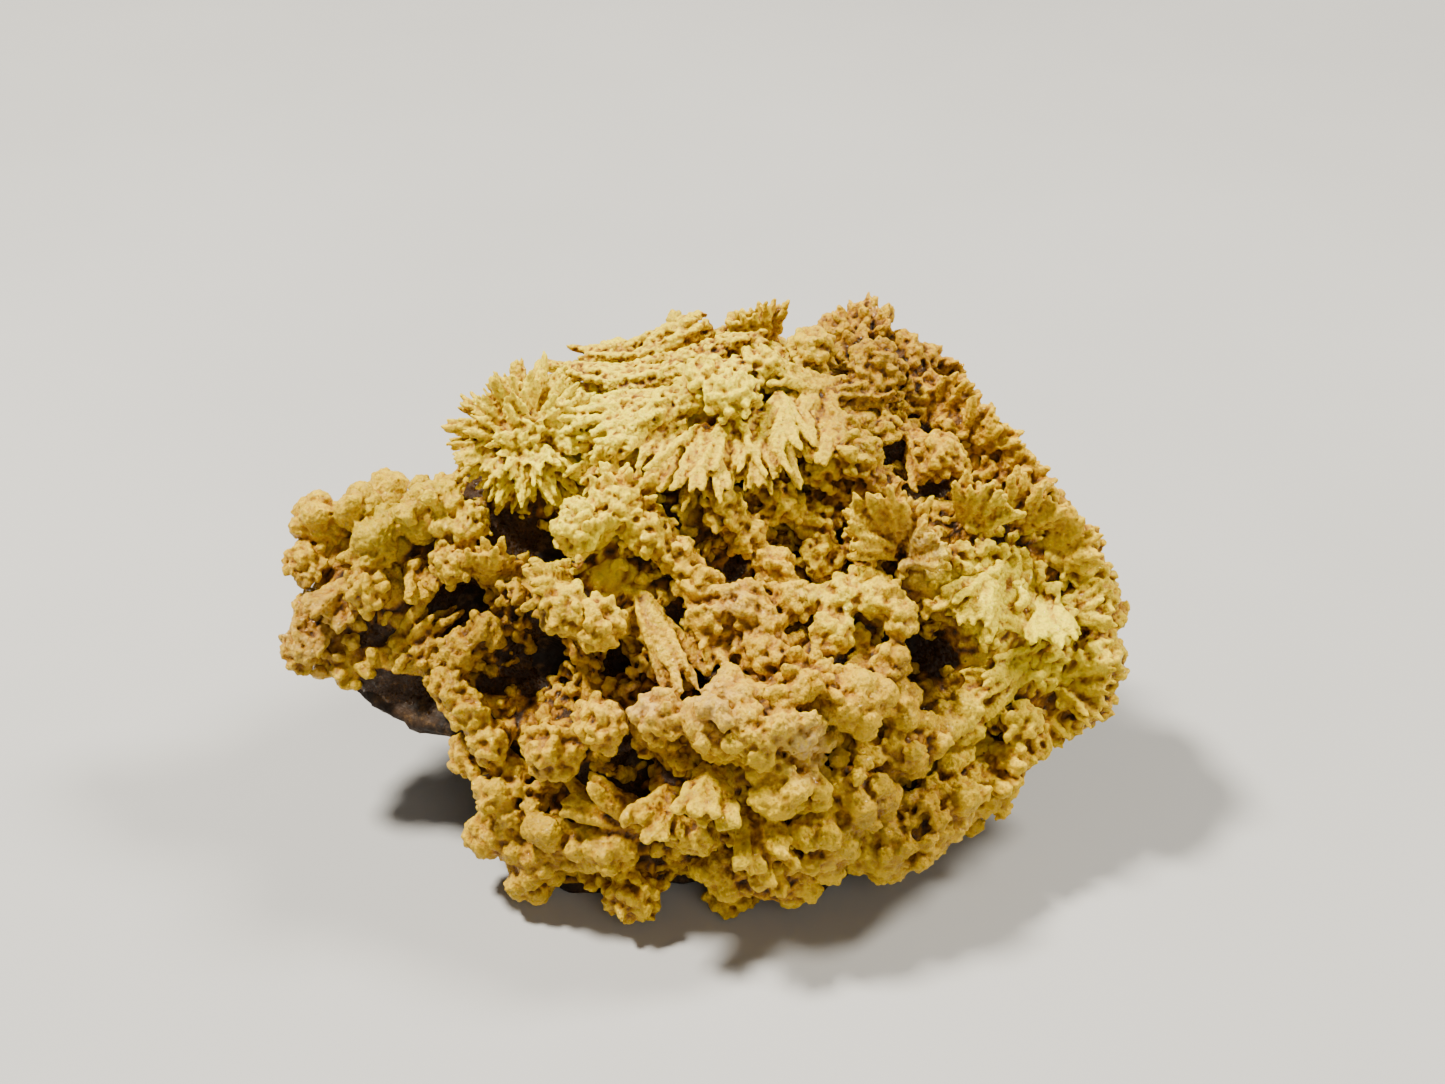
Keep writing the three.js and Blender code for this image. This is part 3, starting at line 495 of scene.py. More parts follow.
def sheaf(root, along, outward, length, wide, thick, head, pointed=True):
    """A fan of blades side by side in two layers, each of its own length, so that its rim is toothed."""
    across, through = sides_of(along, outward)
    parts = max(3, round(2 * math.radians(wide) * length / (BLADE_GAP if pointed else CLUB_GAP)))
    if pointed:
        shape = 0.19 + 0.5 * head, head, 0.25, 2.4, 0.6
    else:
        shape = 0.26 + 0.4 * head, head, 0.2, 7.0, 0.8
    made = []
    for layer in ((0, 1) if thick > 12 else (0,)):
        for k in range(parts):
            turn = math.radians(wide) * (-1 + (2 * k + 1 + 0.6 * layer) / parts) * 0.95 + RNG.normal(0, 0.03)
            lift = math.radians(thick) * (RNG.uniform(-0.6, 0.6) - 0.9 * layer)
            way = unit(along + math.tan(turn) * across + math.tan(lift) * through)
            own_length = length * (0.8 + 0.26 * RNG.random()) * (1 - 0.16 * layer)
            made.append(frond(root, way, outward, own_length, *shape))
    return made


RIDGE_CORDS = 9 # how many cords of crystals lie side by side over a ridge

# Lobed lumps: the core's share, the lobes' radii and spacing, the grains on a big lobe and their radii.
LOBED_CORE, LOBE_RADII, LOBE_SPACING, LOBE_GRAINS, GRAIN_RADII = 0.76, (0.38, 0.8), 1.02, 30, (0.12, 0.2)


def strand(places, radius, up):
    """A lumpy cord of short thick crystals through these places, coloured as seen from `up`."""
    count = len(places) - 1
    heads = radius * RNG.uniform(0.82, 1.15, count)
    made = group(places[:-1], places[1:] + 0.6 * (places[1:] - places[:-1]), heads)
    middle = (places[:-1] + places[1:]) / 2
    made["inner"], made["outer"] = middle - 2.4 * radius * up, middle + radius * up
    return made


def rib(start, end, radius, bow, head):
    """A long ridge: wavy cords with short teeth, side by side over its filled middle, and a small sheaf."""
    line = end - start
    length = np.linalg.norm(line)
    along = line / length
    side, up = sides_of(along, OUT)
    up = up * math.copysign(1, up[2])
    shift = RNG.uniform(-0.2, 0.2, 4)

    def middle(t):
        sway = bow * np.sin(math.pi * np.clip(t, 0, 1)) + np.interp(t, (0.1, 0.4, 0.7, 1.0), shift)
        return start + along * (t * length)[:, None] + side * sway[:, None]

    made = [strand(middle(np.linspace(0.03, 0.88, max(4, int(length / 0.6)))), 0.55 * radius, up)]
    for k in range(RIDGE_CORDS):
        turn = math.radians(-88 + 176 * (k + RNG.uniform(0.2, 0.8)) / RIDGE_CORDS)
        first, last = RNG.uniform(0.0, 0.2), RNG.uniform(0.72, 1.04)
        t = np.linspace(first, last, int((last - first) * length / 0.4) + 2)
        turn = turn + 0.35 * np.interp(t, np.linspace(0, 1, 5), RNG.normal(0, 1, 5))
        radial = np.cos(turn)[:, None] * up + np.sin(turn)[:, None] * side
        swell = 0.66 + 0.3 * t**3 + 0.1 * np.interp(t, np.linspace(0, 1, 7), RNG.normal(0, 1, 7))
        places = middle(t) + radial * (radius * swell)[:, None]
        made.append(strand(places, 0.2 * radius, up))
        teeth = np.repeat(np.arange(len(t)), 3)
        own = radial[teeth] + RNG.normal(0, 0.5, (len(teeth), 3))
        root = places[teeth] + along * RNG.uniform(-0.4, 0.0, (len(teeth), 1))
        tips = root + 0.45 * along + 0.3 * radius * unit(own)
        made.append(group(root, tips, head * RNG.uniform(0.7, 1.1, len(teeth))))
    root = middle(np.array([0.8]))[0]
    return made + sheaf(root, unit(along + 0.15 * up), up, 0.22 * length + 0.6 * radius, 26, 22, head)


def grapes(centre, outward, radius, flat=1.0):
    """Rounded lobes that are grown together round one centre, with grains all over them."""
    centres, radii = [centre[None]], [np.array([radius * LOBED_CORE])]
    count = int(7.9 * radius**2 / LOBE_SPACING**2)
    way = unit(cap(count, outward, math.radians(105)) + RNG.normal(0, 0.14, (count, 3)))
    size = RNG.uniform(*LOBE_RADII, count)
    lobes = centre + way * (radius * RNG.uniform(0.82, 1.3, count) - 0.6 * size)[:, None]
    centres.append(lobes)
    radii.append(size)
    for lobe, own_way, own in zip(lobes, way, size):
        grains = int(LOBE_GRAINS * (own / LOBE_RADII[1]) ** 2)
        out = unit(cap(grains, own_way, math.radians(100)) + RNG.normal(0, 0.15, (grains, 3)))
        centres.append(lobe + out * own * 0.93)
        radii.append(RNG.uniform(*GRAIN_RADII, grains))
    centres = np.concatenate(centres)
    stretched = unit(np.cross(outward, RNG.normal(0, 1, 3)))
    away = (centres - centre) * (1, flat, 1)
    centres = centre + away + stretched * (away @ stretched)[:, None] * RNG.uniform(-0.2, 0.4)
    radii = np.concatenate(radii)
    way = unit(centres - centre + 0.01 * outward)
    return {
        "centre": centres, "radius": radii, "shade": np.full(len(centres), RNG.random()),
        "inner": np.broadcast_to(centre, centres.shape), "outer": centres + way * radii[:, None],
    }


def balls_mesh(made, detail, wobble=0.1):
    """Lumpy closed balls."""
    centre, radius = joined(made, "centre"), joined(made, "radius")
    ball, triangles = ball_grid(detail)
    count, per = len(centre), len(ball)
    points = centre[:, None] + ball[None] * radius[:, None, None]
    flat = points.reshape(-1, 3)
    bumps = wobble * wander(flat, 0.55) + 0.35 * wobble * wander(flat, 0.22)
    swell = 1 + bumps.reshape(count, per) * np.minimum(1.2, 0.6 / radius)[:, None] * 1.3
    points = centre[:, None] + ball[None] * (radius[:, None] * swell)[..., None]
    return {
        "points": points.reshape(-1, 3),
        "triangles": (triangles[None] + (np.arange(count) * per)[:, None, None]).reshape(-1, 3),
    }


# Rings of a rod from its root to its head: share of the shaft's length and of the head's radius.
CLUB_RINGS = ((0.45, 0.8), (1.0, 1.0), (1.65, 0.72))
NEEDLE_RINGS = ((0.35, 0.85), (0.8, 1.0), (1.5, 0.6))


def rods_mesh(made, sides, rings, bend=0.05, rough=0.1):
    """Closed rods: a point at the root, a thickening shaft and a rounded head."""
    root, tip, head = (joined(made, key) for key in ("root", "tip", "head"))
    count = len(tip)
    line = tip - root
    length = np.linalg.norm(line, axis=1)
    along = line / np.maximum(length, 1e-6)[:, None]
    head = np.minimum(head, 0.45 * length)
    helper = np.where(np.abs(along[:, 2:3]) < 0.9, np.array((0, 0, 1.0)), np.array((1.0, 0, 0)))
    across = unit(np.cross(helper, along))
    through = np.cross(along, across)
    bow = bend * length * RNG.normal(0, 1, count)
    bow_way = unit(across * RNG.normal(0, 1, (count, 1)) + through * RNG.normal(0, 1, (count, 1)))
    shaft = length - head
    points = [root[:, None]]
    turn0 = RNG.random(count) * 6.28
    for place, wide in rings:
        at = shaft * np.minimum(place, 1) + head * max(0, place - 1)
        turn = turn0[:, None] + np.arange(sides) * 2 * math.pi / sides
        radius = head[:, None] * wide * (1 + rough * RNG.normal(0, 1, (count, sides)))
        share = at / length
        middle = root + along * at[:, None] + bow_way * (bow * share * (1 - share) * 4)[:, None]
        ring = (
            middle[:, None]
            + across[:, None] * (radius * np.cos(turn))[..., None]
            + through[:, None] * (radius * np.sin(turn))[..., None]
        )
        points.append(ring)
    points.append(tip[:, None])
    points = np.concatenate(points, 1)
    per = points.shape[1]
    one = []
    for j in range(sides):
        k = (j + 1) % sides
        one.append((0, 1 + k, 1 + j))
        for r in range(len(rings) - 1):
            a, b = 1 + r * sides, 1 + (r + 1) * sides
            one += [(a + j, a + k, b + j), (a + k, b + k, b + j)]
        last = 1 + (len(rings) - 1) * sides
        one.append((last + j, last + k, per - 1))
    triangles = np.array(one)[None] + (np.arange(count) * per)[:, None, None]
    return {
        "points": points.reshape(-1, 3),
        "triangles": triangles.reshape(-1, 3),
    }


# --- the crystal groups ---------------------------------------------------------------------------------

ROOT_DEPTH = 0.9 # how deep under the face the groups' roots lie
FAN_THICK = 14 # half spread through a fan, in degrees
LOWER_CLUBS = -5.0 # below this the fans end in clubs, above it in points
LOWER_HALF = 3.0 # below this the ribs are rows of rounded lumps
ROUNDED_FROM = 0.25 # knobs with heads this thick are rounded lumps too
CORE_SHARE = 0.84 # how much of a coral group its filled middle takes up
UNDERSIDE = -12.0 # below this the lumps are smaller, and the rock shows under them
lumps_made = []
groups = {name: [] for name in (
    "sprays", "ribs", "sheaves", "fans", "knobs", "back", "fill_left", "fill_right", "rear",
)}

for x, y, lift, radius in SPRAYS:
    centre = on_face(x - 0.4, y + 0.4, lift + 0.5)
    groups["sprays"] += spray(centre, 1.06 * radius, head_at(x, y))
    lumps_made.append(core(centre, 0.4 * radius))
for x0, y0, x1, y1, lift, radius, bow in RIBS:
    start, end = on_face(x0, y0, lift), on_face(x1, y1, lift)
    if y0 > LOWER_HALF:
        start, end = start + 0.25 * OUT, end + 0.25 * OUT
        groups["ribs"] += rib(start, end, 1.1 * radius, bow, head_at((x0 + x1) / 2, (y0 + y1) / 2))
        continue
    if y0 > 0:
        continue
    side = sides_of(unit(end - start), OUT)[0]
    steps = int(np.linalg.norm(end - start) / (0.62 * radius))
    for t in np.linspace(0, 1, steps):
        middle = start + (end - start) * t + side * bow * math.sin(math.pi * t)
        lumps_made.append(grapes(middle, OUT, radius * RNG.uniform(0.85, 1.1)))
# More sheaves of the fringe under the ridges, and one at the lower left.
MORE_SHEAVES = (
    (-0.8, 10.4, 0.6, -118, 30, 4.0, 26, 16), (1.6, 10.4, 0.9, -94, 28, 4.2, 26, 16),
    (4.0, 11.2, 0.9, -88, 28, 4.2, 26, 16), (-3.0, 9.4, 0.4, -140, 26, 3.2, 26, 16),
    (6.4, 11.4, 0.2, -100, 30, 3.4, 28, 16), (-1.6, -11.2, 0.4, 152, 14, 4.8, 20, 10),
)
for name, rows in (("sheaves", SHEAVES + MORE_SHEAVES), ("fans", FANS)):
    for x, y, lift, heading, rise, length, wide, *thick in rows:
        groups[name] += sheaf(
            on_face(x, y, lift - ROOT_DEPTH), aim(heading, rise), OUT, length + ROOT_DEPTH, wide,
            thick[0] if thick else FAN_THICK, head_at(x, y), y > LOWER_CLUBS,
        )
# Coral groups of the middle, which stand between its fans.
MORE_KNOBS = (
    (7.8, 7.6, 0.2, 1.3), (6.0, 7.0, 0.2, 1.2), (4.0, 5.4, 0.4, 1.2), (5.6, 4.6, 0.4, 1.3),
    (7.4, 5.4, 0.4, 1.1), (8.2, 3.2, 0.4, 1.2), (6.0, 2.6, 0.4, 1.1), (3.6, 2.2, 0.4, 1.1),
    (4.6, 0.6, 0.5, 1.1), (6.8, 0.6, 0.6, 1.2), (8.9, 0.6, 0.5, 1.1), (3.0, -0.6, 0.4, 1.1),
    (6.4, -1.2, 0.5, 1.1), (0.4, -0.4, 0.4, 1.0),
)
for x, y, lift, radius in KNOBS + MORE_KNOBS:
    centre = on_face(x, y, lift)
    head = head_at(x, y)
    if head > ROUNDED_FROM:
        outward = unit(np.array((x / 18, y / 14, 1.0)))
        own = radius * (0.7 if y < UNDERSIDE else 1.0)
        lumps_made.append(grapes(centre, outward, own, 0.8 if x < -10 else 1.0))
        continue
    outward = unit(np.array((x / 18, y / 14, 1.0)) + RNG.normal(0, 0.1, 3))
    lumps_made.append(core(centre, CORE_SHARE * radius))
    groups["knobs"] += coral(centre, outward, radius + 0.28, 0.8 * head)

balls = [(on_face(x, y, lift), radius) for x, y, lift, radius in KNOBS]
for n, (x, y, lift, heading, rise, length, wide) in enumerate(FANS):
    root = on_face(x, y, lift - ROOT_DEPTH)
    for rod in range(-2, 3):
        along = aim(heading + rod / 2 * wide, rise - 6 * abs(rod))
        reach = (length + ROOT_DEPTH) * (0.86 + 0.22 * float(chance(n * 5 + rod)))
        for t in (0.45, 0.65, 0.83, 1):
            radius = 0.3 + 0.4 * t
            balls.append((root + along * (t * reach - radius), radius))

# The groups of the back and the sides, on the same places as in the solids.
BACK_TRIED = 130
for n in range(BACK_TRIED):
    z = 1 - 2 * (n + 0.5) / BACK_TRIED
    turn = n * GOLDEN
    level = math.sqrt(1 - z * z)
    d = np.array((level * math.cos(turn), level * math.sin(turn), z))[None]
    if z > 0.12 or cover_along(d)[0] < 0.85:
        continue
    at = body_point(d, -0.6 - break_depth(d))[0]
    outward = unit(at * np.array((1, 1.6, 2)))
    if chance(n) < 0.65:
        radius = 1.3 + float(chance(n + 0.5))
        balls.append((at, radius))
        lumps_made.append(core(at, CORE_SHARE * radius))
        groups["back"] += coral(at, outward, radius + 0.15, BACK_HEAD, math.radians(95), 0.85)
        continue
    along = unit(outward + 0.7 * aim(360 * float(chance(n + 0.3)), 0))
    length = 2.6 + 1.2 * float(chance(n + 0.7))
    groups["back"] += sheaf(at, along, outward, length, 36, 24, BACK_HEAD)

# --- the crust's body, which fills the space between the groups ------------------------------------------

CRUST_DETAIL, ROCK_DETAIL = 70, 44
FACE_SHARE = 0.3 # how much the crust's points crowd towards the show face
LOW_CRUST = 0.9 # how far the filled crust lies back between the groups of the face
SUNK = 0.7 # how much lower than the rods' tips the filled crust lies
TUFT_ROOM, TUFT_GAPS = 0.62, (0.95, 1.3) # room round a tuft; between tufts in front and behind
TUFT_BLADES = 4


def ball_along(point, d, centre, radius):
    """How far along each direction from its point the far side of a ball lies."""
    to_centre = centre - point
    along = (to_centre * d).sum(1)
    room = radius**2 - ((to_centre**2).sum(1) - along**2)
    return np.where(room > 0, along + np.sqrt(np.maximum(room, 0)), -1e9)


def crust_points(d):
    """The crust's surface: its even thickness, what fills the groups, and less in the hollows."""
    cover = cover_along(d)
    thickness = CRUST * cover * (1 - PIT_THINNING * pits_along(d)) - FEATHER * (1 - cover)
    plain = rock_offset(d) + thickness
    point = body_point(d, 0)
    best = plain - np.where(cover > 0.5, np.where(d[:, 2] > 0, LOW_CRUST, 0.3), 0)
    for centre, radius in balls:
        best = np.maximum(best, np.where(cover < 0.5, -1e9, ball_along(point, d, centre, radius - SUNK)))
    cut = np.where(d[:, 2] > 0, hollow_depth(point[:, 0], point[:, 1]), 0)
    best = np.minimum(best, np.maximum(-cut, rock_offset(d) - 0.4) + 4 * (cut < 0.3))
    rough = body_point(d, best)
    best = best + np.where(cover > 0.5, 0.22 * lumps(rough, 0.55) + 0.12 * wander(rough, 0.3), 0)
    return body_point(d, best)


way, crust_triangles = ball_grid(CRUST_DETAIL)
way = unit(way + (0, 0, FACE_SHARE))
crust = kept_above(crust_points(way), LOWEST_CRUST)
crust_normals = normals_of(crust, crust_triangles)

# Small tufts wherever the named groups leave the crust bare, but for the grooves between the ridges.
RIBBED = (-2.6, 11.6, 3.8)
tips = joined([g for made in (*groups.values(), lumps_made) for g in made], "outer")
tree = kdtree.KDTree(len(tips))
for n, tip in enumerate(tips):
    tree.insert(tip, n)
tree.balance()
cover, pits = cover_along(way), pits_along(way)
lowest = to_world(crust)[:, 2] / MM
taken = {}
hollows = hollow_depth(crust[:, 0], crust[:, 1]) * (way[:, 2] > 0)
patchy = wander(crust, 2.2)
for n in RNG.permutation(len(crust)):
    if cover[n] < 0.75 or pits[n] > 0.5 or lowest[n] < 0.8 or hollows[n] > 0.7:
        continue
    at, normal = crust[n], crust_normals[n]
    front = way[n][2] > 0.05
    if tree.find(at + normal * 0.5)[2] < TUFT_ROOM or way[n][2] > 0 and spot(at[0], at[1], *RIBBED) > 0.4:
        continue
    gap = TUFT_GAPS[not front]
    cell = tuple(np.floor(at / gap).astype(int))
    close = [
        q for i in (-1, 0, 1) for j in (-1, 0, 1) for k in (-1, 0, 1)
        for q in taken.get((cell[0] + i, cell[1] + j, cell[2] + k), ())
    ]
    if any(np.linalg.norm(at - q) < gap for q in close):
        continue
    taken.setdefault(cell, []).append(at)
    head = head_at(at[0], at[1]) if front else BACK_HEAD
    along = unit(normal + RNG.normal(0, 0.28, 3))
    rim = float(smooth_step(0.45, 0.1, way[n][2]))
    length = (1.5 + 0.7 * float(patchy[n])) * (1 - 0.2 * rim) * RNG.uniform(0.85, 1.15)
    for way_out in unit(along + RNG.normal(0, 0.36, (TUFT_BLADES, 3))):
        made = frond(at - along * 0.8, way_out, along, length, 0.24 + head * 0.5, 0.8 * head, 0.3, 6.0, 0.8)
        groups["rear" if not front else "fill_left" if at[0] < 2 else "fill_right"].append(made)

# --- meshes ---------------------------------------------------------------------------------------------


crust_tree = BVHTree.FromPolygons(crust.tolist(), crust_triangles.tolist())
LOWEST_TIP = 0.4 # no crystal ends lower than this over the ground
# Over a hollow this deep, crystals that stand out less than this from the face are left out.
OPEN_HOLLOW, SUNK_TIP = 0.9, -0.15


def without_buried(made):
    """Drops the rods whose heads lie inside the crust's body, low over a hollow or on the ground."""
    tip, root = made["tip"], made["root"]
    low = to_world(tip)[:, 2] < LOWEST_TIP * MM
    above = tip[:, 2] - face_height(tip[:, 0], tip[:, 1])
    low |= (hollow_depth(tip[:, 0], tip[:, 1]) > OPEN_HOLLOW) & (tip[:, 2] > 0) & (above < SUNK_TIP)
    kept = np.zeros(len(tip), bool)
    for n in np.flatnonzero(~low):
        for way in (unit(tip[n] - root[n]), unit(tip[n] * (1, 1, 1.5))):
            if crust_tree.ray_cast(tip[n], way)[0] is None:
                kept[n] = True
                break
    return {key: value[kept] for key, value in made.items()}


# A map of the face plane: the size of its cells, half its width, and the depth that counts as deep, at which
# the painted shade of deep places is full.
CELL, MAP_REACH, DEEP = 0.3, 30, 2.6


def cells_of(points):
    return np.clip(((points[:, :2] + MAP_REACH) / CELL).astype(int), 0, int(2 * MAP_REACH / CELL) - 1).T


def height_map(points):
    """The highest point of the crust over each cell of the face plane, spread over its neighbours."""
    side = int(2 * MAP_REACH / CELL)
    highest = np.full((side, side), -30.0)
    np.maximum.at(highest, tuple(cells_of(points)), points[:, 2])
    for _ in range(3):
        spread = highest.copy()
        for axis in (0, 1):
            for step in (-1, 1):
                spread = np.maximum(spread, np.roll(highest, step, axis))
        highest = spread
    soft = highest.copy()
    for _ in range(6):
        soft = (soft * 2 + sum(np.roll(soft, s, a) for a in (0, 1) for s in (-1, 1))) / 6
    return soft


# How deep each point lies under the crust round it, from 0 to 1; the material darkens deep places with it:
# painted shade, partly also their own darker brown.
def depth_under(points):
    under = (heights[tuple(cells_of(points))] - points[:, 2]) / DEEP
    return np.where(points[:, 2] > -2, np.clip(under, 0, 1), 0.15)


def tones_at(points):
    """How pale, olive, rusty and pinkish each point is, from the spots listed in TONES."""
    total = np.zeros((len(points), 4))
    for x, y, radius, *tone in TONES:
        total += spot(points[:, 0], points[:, 1], x, y, radius)[:, None] * np.array(tone, float)
    front = smooth_step(-4, 1, points[:, 2])[:, None]
    return np.clip(total * front + np.array(BACK_TONE) * (1 - front), 0, 1)


def mesh_of(name, points, triangles):
    mesh = bpy.data.meshes.new(name)
    mesh.vertices.add(len(points))
    mesh.vertices.foreach_set("co", points.astype(np.float32).ravel())
    mesh.loops.add(triangles.size)
    mesh.loops.foreach_set("vertex_index", triangles.astype(np.int32).ravel())
    mesh.polygons.add(len(triangles))
    mesh.polygons.foreach_set("loop_start", np.arange(0, triangles.size, 3, dtype=np.int32))
    mesh.polygons.foreach_set("use_smooth", np.full(len(triangles), True))
    mesh.update(calc_edges=True)
    return mesh


def linked(name, mesh):
    holder = bpy.data.objects.new(name, mesh)
    bpy.context.scene.collection.objects.link(holder)
    return holder


def mesh_piece(name, points, triangles, values, material):
    mesh = mesh_of(name, to_world(points), triangles)
    for key, value in values.items():
        layer = mesh.attributes.new(key, "FLOAT", "POINT")
        layer.data.foreach_set("value", np.asarray(value, np.float32))
    mesh.materials.append(material)
    return linked(name, mesh)


def worked(points, triangles, *modifiers):
    """The mesh that these modifiers make of a closed mesh: its points and triangles."""
    mesh = mesh_of("worked", points, triangles)
    holder = linked("worked", mesh)
    for kind, settings in modifiers:
        modifier = holder.modifiers.new(kind.lower(), kind)
        for key, value in settings.items():
            setattr(modifier, key, value)
    made = holder.evaluated_get(bpy.context.evaluated_depsgraph_get()).to_mesh()
    made.calc_loop_triangles()
    new_points = np.empty(len(made.vertices) * 3, np.float32)
    made.vertices.foreach_get("co", new_points)
    new_triangles = np.empty(len(made.loop_triangles) * 3, np.int32)
    made.loop_triangles.foreach_get("vertices", new_triangles)
    bpy.data.objects.remove(holder)
    bpy.data.meshes.remove(mesh)
    return new_points.reshape(-1, 3).astype(float), new_triangles.reshape(-1, 3)


def whole_parts(points, triangles, least):
    """Leaves out the bubbles inside a mesh and its loose bits of less than `least` cubic millimetres."""
    label = np.arange(len(points))
    while True:
        lowest = label[triangles].min(1)
        found = label.copy()
        for k in range(3):
            np.minimum.at(found, triangles[:, k], lowest)
            np.minimum.at(found, label[triangles[:, k]], lowest)
        found = found[found]
        if (found == label).all():
            break
        label = found
    a, b, c = (points[triangles[:, k]] for k in range(3))
    volume = np.bincount(label[triangles[:, 0]], (a * np.cross(b, c)).sum(1) / 6, len(points))
    triangles = triangles[volume[label[triangles[:, 0]]] > least]
    used, numbers = np.unique(triangles, return_inverse=True)
    return points[used], numbers.reshape(-1, 3)


def blurred(points, triangles, rounds):
    """The points after this many rounds of averaging with their neighbours."""
    edges = np.concatenate([triangles[:, [0, 1]], triangles[:, [1, 2]], triangles[:, [2, 0]]])
    a, b = edges[:, 0], edges[:, 1]
    count = np.bincount(a, minlength=len(points)) + np.bincount(b, minlength=len(points))
    soft = points
    for _ in range(rounds):
        total = np.stack([
            np.bincount(a, soft[b, k], len(points)) + np.bincount(b, soft[a, k], len(points))
            for k in range(3)
        ], 1)
        soft = 0.5 * soft + 0.5 * total / np.maximum(count, 1)[:, None]
    return soft


def crevices(points, triangles):
    """How far each point lies down in a crease of the surface, above 0, or out on an edge or a tip, below 0.
    The material darkens the creases with it: painted shade, partly also their own darker brown.
    """
    normals = normals_of(points, triangles)
    near = ((blurred(points, triangles, 5) - points) * normals).sum(1) / 0.05
    far = ((blurred(points, triangles, 30) - points) * normals).sum(1) / 0.16
    return np.clip(0.5 * near + 0.5 * far, -1, 1)


def crystal_values(points, crystals):
    """How far out along the nearest crystal each point lies, that crystal's number and its group's shade."""
    root, tip, shade = (joined(crystals, key) for key in ("inner", "outer", "shade"))
    own = RNG.random(len(tip))
    tree = kdtree.KDTree(3 * len(tip))
    for share in (0.5, 0.78, 1.0):
        for n, at in enumerate(root + (tip - root) * share):
            tree.insert(at, n)
    tree.balance()
    nearest = np.array([tree.find(p)[1] for p in points])
    line = tip[nearest] - root[nearest]
    out = ((points - root[nearest]) * line).sum(1) / np.maximum((line**2).sum(1), 1e-9)
    return {"grow": np.clip(out, 0, 1), "rod": own[nearest], "shade": shade[nearest]}


def toned(values, points):
    for key, column in zip(("pale", "olive", "rust", "pink"), tones_at(points).T):
        values[key] = column
    # Painted shade, partly also darker brown, deep under the crust round each point.
    values["deep"] = depth_under(points)
    return values

# --- materials ------------------------------------------------------------------------------------------


class Graph:
    """A short way to write a material's nodes."""

    def __init__(self, name):
        self.material = bpy.data.materials.new(name)
        self.material.use_nodes = True
        self.tree = self.material.node_tree
        self.tree.nodes.clear()

    def node(self, kind, settings=None, **inputs):
        made = self.tree.nodes.new(kind)
        for key, value in (settings or {}).items():
            setattr(made, key, value)
        for key, value in inputs.items():
            socket = made.inputs[int(key[1:])] if key[1:].isdigit() else made.inputs[key.replace("_", " ")]
            if isinstance(value, bpy.types.NodeSocket):
                self.tree.links.new(value, socket)
            else:
                socket.default_value = value
        return made

    def attribute(self, name):
        return self.node("ShaderNodeAttribute", {"attribute_name": name}).outputs["Fac"]

    def math(self, operation, a, b):
        return self.node("ShaderNodeMath", {"operation": operation}, i0=a, i1=b).outputs[0]

    def plus(self, a, b):
        return self.math("ADD", a, b)

    def minus(self, a, b):
        return self.math("SUBTRACT", a, b)

    def times(self, a, b):
        return self.math("MULTIPLY", a, b)

    def vector(self, operation, a, b=(0.0, 0.0, 0.0)):
        return self.node("ShaderNodeVectorMath", {"operation": operation}, i0=a, i1=b).outputs[0]

    def remap(self, value, low, high, to_low, to_high):
        ends = {"i1": low, "i2": high, "i3": to_low, "i4": to_high}
        return self.node("ShaderNodeMapRange", {"clamp": True}, i0=value, **ends).outputs[0]

    def noise(self, where, size, detail=3.0, rough=0.55):
        """Noise of about this size in millimetres."""
        scale = 1 / (size * MM)
        made = self.node("ShaderNodeTexNoise", Vector=where, Scale=scale, Detail=detail, Roughness=rough)
        return made.outputs["Fac"]

    def cells(self, where, size, output="Distance"):
        made = self.node("ShaderNodeTexVoronoi", Vector=where, Scale=1 / (size * MM))
        return made.outputs[output]

    def ramp(self, value, *stops):
        made = self.node("ShaderNodeValToRGB", i0=value)
        elements = made.color_ramp.elements
        while len(elements) < len(stops):
            elements.new(0.5)
        for element, (place, colour) in zip(elements, stops):
            element.position, element.color = place, (*colour, 1)
        return made.outputs["Color"]

    def mix(self, share, a, b, blend="MIX"):
        made = self.node("ShaderNodeMix", {"data_type": "RGBA", "blend_type": blend}, i0=share)
        for index, value in ((6, a), (7, b)):
            if isinstance(value, bpy.types.NodeSocket):
                self.tree.links.new(value, made.inputs[index])
            else:
                made.inputs[index].default_value = (*value, 1)
        return made.outputs[2]

    def finish(self, shader):
        output = self.node("ShaderNodeOutputMaterial")
        self.tree.links.new(shader, output.inputs["Surface"])
        return self.material


